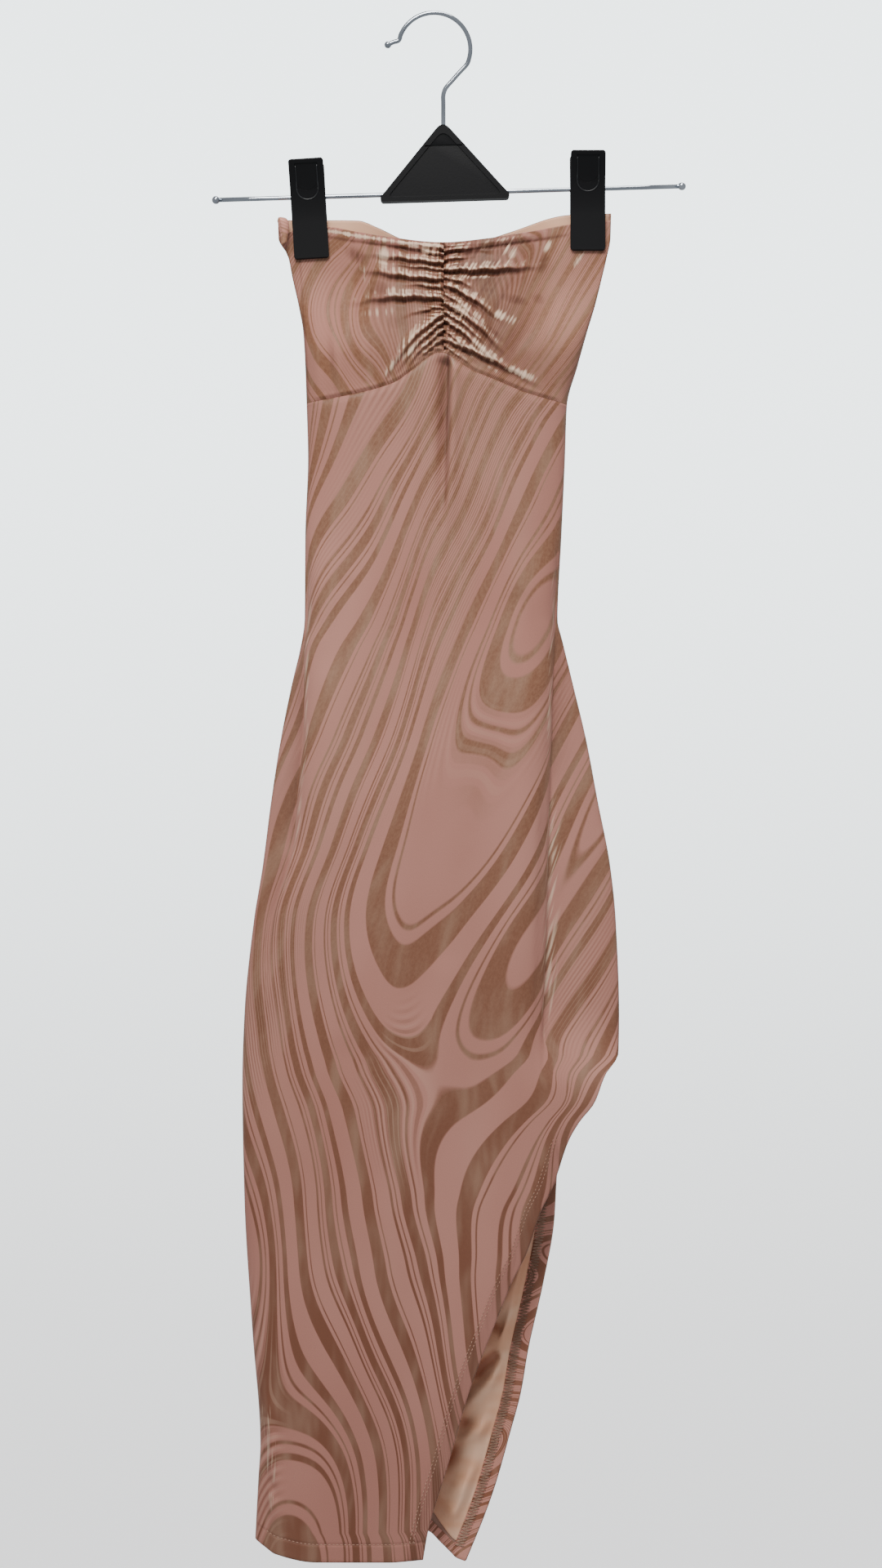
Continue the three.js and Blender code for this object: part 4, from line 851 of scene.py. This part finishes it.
def curled_corner():
    """The cup's free corner beside the left clip, rolled forward on itself."""
    turn, along = np.meshgrid(np.linspace(0, 1, 49), np.linspace(0, 1, 25))
    angle = lerp(-0.6, 3.05, turn) * math.pi
    size = lerp(4.9, 1.7, turn) * lerp(1, 0.6, along ** 1.5) * (1 + 0.1 * np.sin(5 * along + 2 * turn))
    size *= np.sqrt(np.clip(0.5 + 4 * along, 0, 1))
    centre_x = lerp(-113.8, -112.4, along) + 0.8 * np.sin(3 * along)
    centre_z = lerp(-152.5, -171.5, along)
    tilt = 1.2 * np.cos(angle) * (along - 0.2)
    outer, inner = (
        np.stack([centre_x + radius * np.cos(angle), -6.8 + radius * np.sin(angle), centre_z + tilt], -1)
        for radius in (size, size - LINING))
    place = np.stack([turn * 42, -along * 16], -1)
    return sheet_between("dress_corner_roll", outer, inner, place, True, VELVET_EDGE, BACKING)


column, z = grid_between(FRONT, side - 1 - CUP_GAP, rows, neck_front, shifted(under_bust, UNDER_BUST_GAP))
bust_left = cloth_sheet("dress_bust_left", FRONT, column, z, VELVET_BUST_LEFT, BACKING)
gather_shades(bust_left, column, z)
column, z = grid_between(FRONT, side + CUP_GAP, rows, neck_front, shifted(under_bust, UNDER_BUST_GAP))
bust_right = cloth_sheet("dress_bust_right", FRONT, np.minimum(column, 1), z, VELVET_BUST_RIGHT, BACKING)
gather_shades(bust_right, column, z)
corner_roll = curled_corner()
down = np.concatenate([np.linspace(0, 0.02, 10), np.linspace(0.024, 0.975, 200), np.linspace(0.976, 1, 30)])
column, z = grid_between(FRONT, np.linspace(-1, 1, 191), down,
                         shifted(under_bust, -UNDER_BUST_GAP), hem_front)
skirt_front = cloth_sheet("dress_skirt_front", FRONT, column, z, VELVET_SKIRT, BACKING)
skirt_shades(skirt_front, column, z)
column, z = grid_between(BACK, np.linspace(-1, 1, 161), down, neck_back, hem_back)
back_panel = cloth_sheet("dress_back", BACK, column, z, VELVET_BACK, BACKING)


# What shows of the lining and of the turned edges, on the inside of the back


def facing_edge(z):
    return BACK.right(z) - SLIT_FACING


def shares(columns, count):
    return np.meshgrid(np.linspace(0, 1, columns), np.linspace(0, 1, count))


def strip(name, x, z, cloth, inset=WALL + STRIP_GAP):
    """A thin sheet on the inside of the back, over a grid of places."""
    return cloth_sheet(name, BACK, BACK.column_at(x, z), z, cloth, cloth, inset, LINING)


column, z = grid_between(BACK, np.linspace(-0.93, 0.93, 121), np.linspace(0, 1, 25),
                         shifted(neck_back, -0.6), shifted(neck_back, -NECK_STRIP))
lining_top = cloth_sheet("dress_lining_top", BACK, column, z, LINING_TOP_CLOTH, LINING_TOP_CLOTH,
                         WALL + STRIP_GAP, LINING)

share, row = shares(17, 150)
low = np.array(-1150.0)
ends = lerp(facing_edge(low), BACK.right(low), share)
z = lerp(FACING_TOP_Z, hem_back(ends) + 0.5, row)
x = lerp(facing_edge(z), BACK.right(z) - 0.4, share)
facing = strip("dress_slit_facing", x, z, VELVET_EDGE)

share, row = shares(61, 150)
z = np.full_like(share, LINING_TOP_Z)
for _ in range(SETTLE_STEPS):
    right = np.minimum(facing_edge(z), facing_edge(np.array(float(FACING_TOP_Z))) + 2) - STRIP_GAP
    left = np.minimum(FRONT.right(z) - LINING_BEHIND_SLIT, right - 12)
    x = lerp(left, right, share)
    z = lerp(LINING_TOP_Z, hem_back(x) + HEM_FACING + lerp(9, 3, smooth(-6, 14, x)), row)
loose = np.minimum(smooth(0, 0.3, share) * smooth(1, 0.8, share), smooth(0, 0.1, row) * smooth(1, 0.93, row))
folds = fold_height(LINING_FOLDS, x, z)
lining_slit = strip("dress_lining_slit", x, z, LINING_CLOTH,
                    WALL + STRIP_GAP + loose * np.maximum(LINING_HANGS_OFF + LINING_FOLD_DEPTH * folds, 0))
# Painted shade in the lining's fold troughs and a painted shadow beside the front's edge.
front_shadow = smooth(16, 0, x - FRONT.right(z))
shade_layer(lining_slit, "crease", np.clip(0.6 * smooth(-0.2, -4, folds) + 0.4 * front_shadow, 0, 0.85))

share, row = shares(61, 12)
z = np.full_like(share, float(hem_back(0)))
for _ in range(SETTLE_STEPS):
    x = lerp(HEM_FACING_LEFT_X, facing_edge(z) - STRIP_GAP, share)
    z = hem_back(x) + lerp(HEM_FACING, 0.5, row)
hem_facing = strip("dress_hem_facing", x, z, VELVET_EDGE)


# Hem, seam and edge stitches


def surface(half, x, z, out=0.0):
    """Points on a half's outer face, moved outwards."""
    face, outward = half.face(half.column_at(x, z), z)
    return face + outward * out


def spheres(name, places, around, up, material):
    """Unit spheres, each stretched, turned and moved to its place by a matrix."""
    mesh = bpy.data.meshes.new(name)
    bm = bmesh.new()
    for place in places:
        bmesh.ops.create_uvsphere(bm, u_segments=around, v_segments=up, radius=1, matrix=place)
    bm.to_mesh(mesh)
    bm.free()
    shade_smooth(mesh)
    return new_object(name, mesh, material)


def stitch_row(name, points, material, spacing=3.0, length=2.1, radius=0.33):
    """Short stitches along a path of points, each a slim pointed bead."""
    steps = np.linalg.norm(np.diff(points, axis=0), axis=1)
    along = np.concatenate([[0], np.cumsum(steps)])
    places = []
    for start in np.arange(0.5 * spacing, along[-1] - spacing, spacing):
        ends = [np.array([np.interp(end, along, points[:, k]) for k in range(3)])
                for end in (start, start + length)]
        axis = Vector(ends[1] - ends[0])
        turn = Vector((0, 0, 1)).rotation_difference(axis.normalized()).to_matrix().to_4x4()
        size = Matrix.Diagonal((radius * MM, radius * MM, axis.length / 2 * MM, 1))
        places.append(Matrix.Translation(Vector((ends[0] + ends[1]) / 2) * MM) @ turn @ size)
    return spheres(name, places, 6, 5, material)


def hem_stitch_row(name, half, hem, span):
    x = np.linspace(*span)
    return stitch_row(name, surface(half, x, hem(x) + HEM_STITCH_UP), THREAD)


def slit_stitch_row(name, half, slit, span, inward=SLIT_STITCH_IN):
    z = np.linspace(*span)
    return stitch_row(name, surface(half, slit(z) - inward, z), THREAD)


hem_stitches = hem_stitch_row("hem_stitches", FRONT, hem_front, HEM_STITCHES)
edge_rows = [slit_stitch_row("slit_stitches_" + label, FRONT, slit_front, SLIT_STITCHES, inward)
             for label, inward in (("outer", SLIT_STITCH_IN), ("inner", SLIT_STITCH_IN + SLIT_ROWS_APART))]
back_hem_stitches = hem_stitch_row("back_hem_stitches", BACK, hem_back, BACK_HEM_STITCHES)
back_edge_stitches = slit_stitch_row("back_slit_stitches", BACK, slit_back, BACK_SLIT_STITCHES)
neck_x = np.linspace(*NECK_STITCHES)
neck_path = surface(BACK, neck_x, neck_back(neck_x) - NECK_STITCH_DOWN, -WALL - LINING - 0.2)
neck_stitches = stitch_row("neck_stitches", neck_path, THREAD_PEACH, 2.6, 1.7, 0.2)


def ring_faces(count, sides):
    """Four-sided faces between rings of points that follow each other."""
    corners = np.arange(count * sides).reshape(count, sides)
    following = np.roll(corners, -1, axis=1)
    faces = np.stack([corners[:-1], following[:-1], following[1:], corners[1:]], axis=-1)
    return faces.reshape(-1, 4).tolist()


def tube(name, points, radius, sides, material):
    """A round wire along points, in millimetres."""
    points = np.asarray(points, float)
    ahead = np.gradient(points, axis=0)
    ahead /= np.linalg.norm(ahead, axis=1, keepdims=True)
    up = np.array([0.0, 1.0, 0.0]) if abs(ahead[0, 1]) < 0.9 else np.array([1.0, 0.0, 0.0])
    rings = []
    for point, forward in zip(points, ahead):
        up = up - forward * up.dot(forward)
        up /= np.linalg.norm(up)
        across = np.cross(forward, up)
        turn = np.linspace(0, 2 * math.pi, sides, endpoint=False)[:, None]
        rings.append(point + radius * (np.cos(turn) * across + np.sin(turn) * up))
    last = (len(points) - 1) * sides
    faces = ring_faces(len(points), sides) + [list(range(sides))[::-1], list(range(last, last + sides))]
    mesh = bpy.data.meshes.new(name)
    mesh.from_pydata((np.concatenate(rings) * MM).tolist(), [], faces)
    shade_smooth(mesh)
    return new_object(name, mesh, material)


# The overlocked inner edge of the slit's facing
over_z = np.linspace(FACING_TOP_Z - 1, -1146, 800)
swing = 0.5 + 0.5 * np.cos(np.arange(len(over_z)) * math.pi / 3)
over_x = facing_edge(over_z) + lerp(*OVERLOCK_REACH, swing)
over_path = surface(BACK, over_x, over_z, -WALL - LINING - 0.4)
overlock = tube("slit_overlock", over_path, OVERLOCK_THREAD, 6, OVERLOCK)

# Each sheet: the node it stands for, its slot, how it is held, what it rests on and what is sewn to it
clips = ["clip_left_front", "clip_left_back", "clip_right_front", "clip_right_back"]
SHEETS = [
    (bust_left, "bust_left", "velvet_bust", "gathered", clips[:2], [corner_roll]),
    (bust_right, "bust_right", "velvet_bust", "gathered", clips[2:], []),
    (skirt_front, "skirt_front", "velvet_skirt", "hung", [bust_left, bust_right], [hem_stitches, *edge_rows]),
    (back_panel, "back_panel", "velvet_back", "hung", clips, [back_hem_stitches, back_edge_stitches]),
    (lining_top, "back_lining_top", "lining", "hung", [back_panel], [neck_stitches]),
    (facing, "back_slit_facing", "facing", "laid", [back_panel], [overlock]),
    (lining_slit, "back_lining_slit", "lining", "laid", [back_panel], []),
    (hem_facing, "back_hem_facing", "facing", "laid", [back_panel], []),
]
for sheet, node, slot_name, held, rests_on, with_pieces in SHEETS:
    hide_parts(node)
for piece in (corner_roll, *(row[0] for row in SHEETS)):
    del piece["cloth_size"]


# The hanger


def bar_z(x):
    share = (x - BAR["left"][0]) / (BAR["right"][0] - BAR["left"][0])
    return lerp(BAR["left"][1], BAR["right"][1], share)


def rounded_outline(points, radius):
    """The outline seen from the front, with each corner rounded, as a cutter that passes through in depth."""
    flat = np.array([(point.x, point.z) for point in points])
    turns = np.linspace(0, 2 * math.pi, 180, endpoint=False)
    ways = np.stack([np.cos(turns), np.sin(turns)], 1)
    reach = (flat @ ways.T).max(axis=0)
    kept = [flat.mean(axis=0) + 0.3 * np.array(corner) for corner in ((-1, -1), (1, -1), (1, 1), (-1, 1))]
    for way, far in zip(ways, reach - radius):
        clipped = []
        for here, ahead in zip(kept, kept[1:] + kept[:1]):
            over_here, over_ahead = here @ way - far, ahead @ way - far
            if over_here <= 0:
                clipped.append(here)
            if over_here * over_ahead < 0:
                clipped.append(here + (ahead - here) * (over_here / (over_here - over_ahead)))
        kept = clipped
    corners = np.array(kept)
    outline = corners[np.argmax(corners @ ways[::2].T, axis=0)] + radius * ways[::2]
    count = len(outline)
    spots = [(x, y, z) for y in (-0.05, 0.05) for x, z in outline]
    faces = [tuple(range(count)), tuple(range(2 * count - 1, count - 1, -1))]
    faces += [(i, i + count, (i + 1) % count + count, (i + 1) % count) for i in range(count)]
    mesh = bpy.data.meshes.new("outline")
    mesh.from_pydata(spots, [], faces)
    return bpy.data.objects.new("outline", mesh)


def beside_clip(clip, off, up):
    """x and z of a place right of a clip's middle and above the bar, turned by the clip's lean."""
    centre, lean = CLIP_X[clip], math.radians(CLIP_LEAN[clip])
    return (centre + off * math.cos(lean) + up * math.sin(lean),
            bar_z(centre) + up * math.cos(lean) - off * math.sin(lean))


def finer(node, name, corner):
    """The CAD piece's own form with its edges rounded, and its outline's corners rounded more."""
    mesh = bpy.data.objects[node].data.copy()
    mesh.name = name
    mesh.materials.clear()
    mesh.transform(bpy.data.objects[node].matrix_world)
    piece = new_object(name, mesh, PLASTIC)
    cutter = rounded_outline([vert.co for vert in mesh.vertices], corner * MM)
    root.objects.link(cutter)
    trim = piece.modifiers.new("outline", "BOOLEAN")
    trim.operation, trim.solver, trim.object = "INTERSECT", "EXACT", cutter
    trimmed = bpy.data.meshes.new_from_object(piece.evaluated_get(bpy.context.evaluated_depsgraph_get()))
    piece.modifiers.clear()
    bpy.data.objects.remove(cutter)
    bm = bmesh.new()
    bm.from_mesh(trimmed)
    bmesh.ops.remove_doubles(bm, verts=bm.verts, dist=1e-5)
    bmesh.ops.dissolve_limit(bm, angle_limit=math.radians(1), verts=bm.verts, edges=bm.edges)
    bm.to_mesh(mesh)
    bm.free()
    rounding = piece.modifiers.new("rounding", "BEVEL")
    rounding.width = EDGE_ROUNDING * MM
    rounding.segments = 3
    rounding.limit_method = "ANGLE"
    rounding.angle_limit = math.radians(28)
    rounding.harden_normals = True
    shade_smooth(mesh)
    mesh.set_sharp_from_angle(angle=math.radians(30))
    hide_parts(node)
    return piece


def ball(name, centre, radius):
    place = Matrix.Translation(Vector(centre) * MM) @ Matrix.Scale(radius * MM, 4)
    return spheres(name, [place], 40, 24, CHROME)


def through(points, steps):
    """A smooth line through points in the plane of the hook, with corners eased."""
    points = np.asarray(points, float)
    knots = np.concatenate([[0], np.cumsum(np.sqrt(np.linalg.norm(np.diff(points, axis=0), axis=1)))])
    padded = np.vstack([2 * points[0] - points[1], points, 2 * points[-1] - points[-2]])
    first, last = 2 * knots[0] - knots[1], 2 * knots[-1] - knots[-2]
    times = np.concatenate([[first], knots, [last]])
    line = []
    for t in np.linspace(knots[0], knots[-1], steps):
        i = min(int(np.searchsorted(knots, t, side="right")), len(knots) - 1)
        ts, ps = times[i - 1:i + 3], padded[i - 1:i + 3]
        a = [lerp(ps[k], ps[k + 1], (t - ts[k]) / (ts[k + 1] - ts[k])) for k in range(3)]
        b = [lerp(a[k], a[k + 1], (t - ts[k]) / (ts[k + 2] - ts[k])) for k in range(2)]
        line.append(lerp(b[0], b[1], (t - ts[1]) / (ts[2] - ts[1])))
    return np.array(line)


bar_ends = np.array([(x, 0, z) for x, z in (BAR["left"], BAR["right"])], float)
bar_line = lerp(bar_ends[0], bar_ends[1], np.linspace(0, 1, 12)[:, None])
bar = tube("hanger_bar", bar_line, BAR["radius"], 32, CHROME)
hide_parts("bar")
bar_balls = [ball("bar_ball_" + label, end, BAR["ball"]) for label, end in zip(("left", "right"), bar_ends)]

turns = np.radians(np.linspace(HOOK_ARC["from"], HOOK_ARC["to"], 21))
hook_centre = (HOOK_ARC["x"], WIRE_RADIUS - HOOK_ARC["radius"])
arc = HOOK_ARC["radius"] * np.stack([np.cos(turns), np.sin(turns)], 1) + hook_centre
hook_path = through(np.vstack([[HOOK_TIP, HOOK_LIP], arc, HOOK_TAIL]), 150)
hook = tube("hanger_hook", np.insert(hook_path, 1, 0, axis=1), WIRE_RADIUS, 28, CHROME)
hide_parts("hook")
hook_ball = ball("hook_tip", (HOOK_TIP[0], 0, HOOK_TIP[1]), HOOK_BALL)


def thumb_rim(clip, jaw):
    """The raised rim round the thumb's rest on a front jaw, in a lighter plastic: a painted highlight."""
    half, bottom = THUMB_REST["half"], THUMB_REST["bottom"]
    turn = np.linspace(math.pi, 2 * math.pi, 41)
    sides = np.linspace(THUMB_REST["top"], bottom, 12)
    path = [(-half, up) for up in sides] + [(half * math.cos(a), bottom + half * math.sin(a)) for a in turn]
    path += [(half, up) for up in sides[::-1]]
    face = jaw.evaluated_get(bpy.context.evaluated_depsgraph_get())
    spots = []
    for off, up in path:
        x, z = beside_clip(clip, off, up)
        hit, place, _, _ = face.ray_cast(Vector((x, -60, z)) * MM, Vector((0, 1, 0)))
        if hit:
            spots.append((x, place.y / MM, z))
    return tube(clip + "_thumb_rim", spots, THUMB_REST["rim"], 8, PLASTIC_RIM_HIGHLIGHT)


def coil_and_legs(clip):
    half = SPRING["pitch"] * SPRING["turns"] / 2
    turn = np.linspace(0, SPRING["turns"], 90)
    angle = 2 * math.pi * turn
    coil = np.stack([SPRING["pitch"] * turn - half, -SPRING["radius"] * np.cos(angle),
                     -SPRING["radius"] * np.sin(angle)], 1)
    legs = [[(end * half, end * reach, up) for reach, up in SPRING_LEG] for end in (-1, 1)]
    line = np.vstack([legs[0][::-1], coil, legs[1]])
    x, z = beside_clip(clip, line[:, 0], line[:, 2])
    return np.stack([x, line[:, 1], z], 1)


finer("hanger_block", "hanger_centre_block", BLOCK_CORNER)
for clip in CLIP_X:
    for which in ("front", "back"):
        jaw = finer(f"{clip}_{which}", f"{clip}_jaw_{which}", JAW_CORNER)
        if which == "front":
            thumb_rim(clip, jaw)
    spring = tube(clip + "_coil", coil_and_legs(clip), SPRING["wire"], 10, STEEL)
    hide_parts(clip + "_spring")


# Floor and backdrop


def backdrop():
    profile = [(0, -3.2), (3, -3.2), (6, -3.15), (7, -2.8), (7.7, -2.0), (8, -1.0), (8, 1), (8, 3), (7.2, 5)]
    sides = 96
    turns = np.linspace(0, 2 * math.pi, sides, endpoint=False)
    points = [(radius * math.cos(turn), radius * math.sin(turn), height)
              for radius, height in profile for turn in turns]
    mesh = bpy.data.meshes.new("backdrop")
    mesh.from_pydata(points, [], ring_faces(len(profile), sides))
    shade_smooth(mesh)
    m = Nodes("backdrop_glow", Roughness=0.9, Emission_Strength=1.0)
    place = m.place()
    patches = m.noise(m.scaled(place, 0.4, 0.4, 0.4), 1.0)
    m.put(m.shader.inputs["Base Color"], m.mix(patches, linear(233, 236, 237), linear(230, 231, 232)))
    # Painted light: the backdrop glows, brighter at the top than near the floor.
    height = m.add("SeparateXYZ", Vector=place).outputs[2]
    glow = m.mix(m.step(height, -2.7, 1.0), (1.15, 1.14, 1.14, 1), (2.75, 3.0, 3.05, 1))
    m.put(m.shader.inputs["Emission Color"], glow)
    mesh.materials.append(m.material)
    room = bpy.data.objects.new("backdrop", mesh)
    root.objects.link(room)
    room.visible_diffuse = False
    room.visible_glossy = False


def area_light(name, place, target, size, power, colour):
    lamp = bpy.data.lights.new(name, "AREA")
    lamp.shape = "DISK"
    lamp.size = size
    lamp.energy = power
    lamp.color = colour
    holder = bpy.data.objects.new(name, lamp)
    holder.location = place
    holder.rotation_euler = (Vector(target) - Vector(place)).to_track_quat("-Z", "Y").to_euler()
    root.objects.link(holder)


backdrop()
area_light("key", (-0.4, -1.8, 1.4), (0, 0, -0.3), 1.1, 62, (1.0, 0.985, 0.96))
area_light("top", (0.2, -0.5, 1.5), (0, 0, -0.3), 0.9, 20, (1.0, 0.99, 0.97))
area_light("behind", (0.6, 2.4, 1.2), (0, 0, -0.5), 1.6, 45, (1.0, 0.99, 0.97))
world = bpy.data.worlds.new("studio")
world.use_nodes = True
world.node_tree.nodes["Background"].inputs[0].default_value = (0.93, 0.96, 1.0, 1.0)
world.node_tree.nodes["Background"].inputs[1].default_value = 0.5
bpy.context.scene.world = world

# The photo's own view
lens = bpy.data.cameras.new("photo_view")
lens.sensor_width = SENSOR_WIDTH
lens.lens = SENSOR_WIDTH * CAMERA_DISTANCE / (FRAME_PIXELS[1] * PIXEL)
lens.dof.use_dof = False
camera = bpy.data.objects.new("photo_view", lens)
aim_x = (FRAME_PIXELS[0] / 2 - ORIGIN_PIXEL[0]) * PIXEL
aim_z = (ORIGIN_PIXEL[1] - FRAME_PIXELS[1] / 2) * PIXEL
camera.location = (aim_x * MM, -CAMERA_DISTANCE * MM, aim_z * MM)
camera.rotation_euler = (math.pi / 2, 0, 0)
root.objects.link(camera)
bpy.context.scene.camera = camera
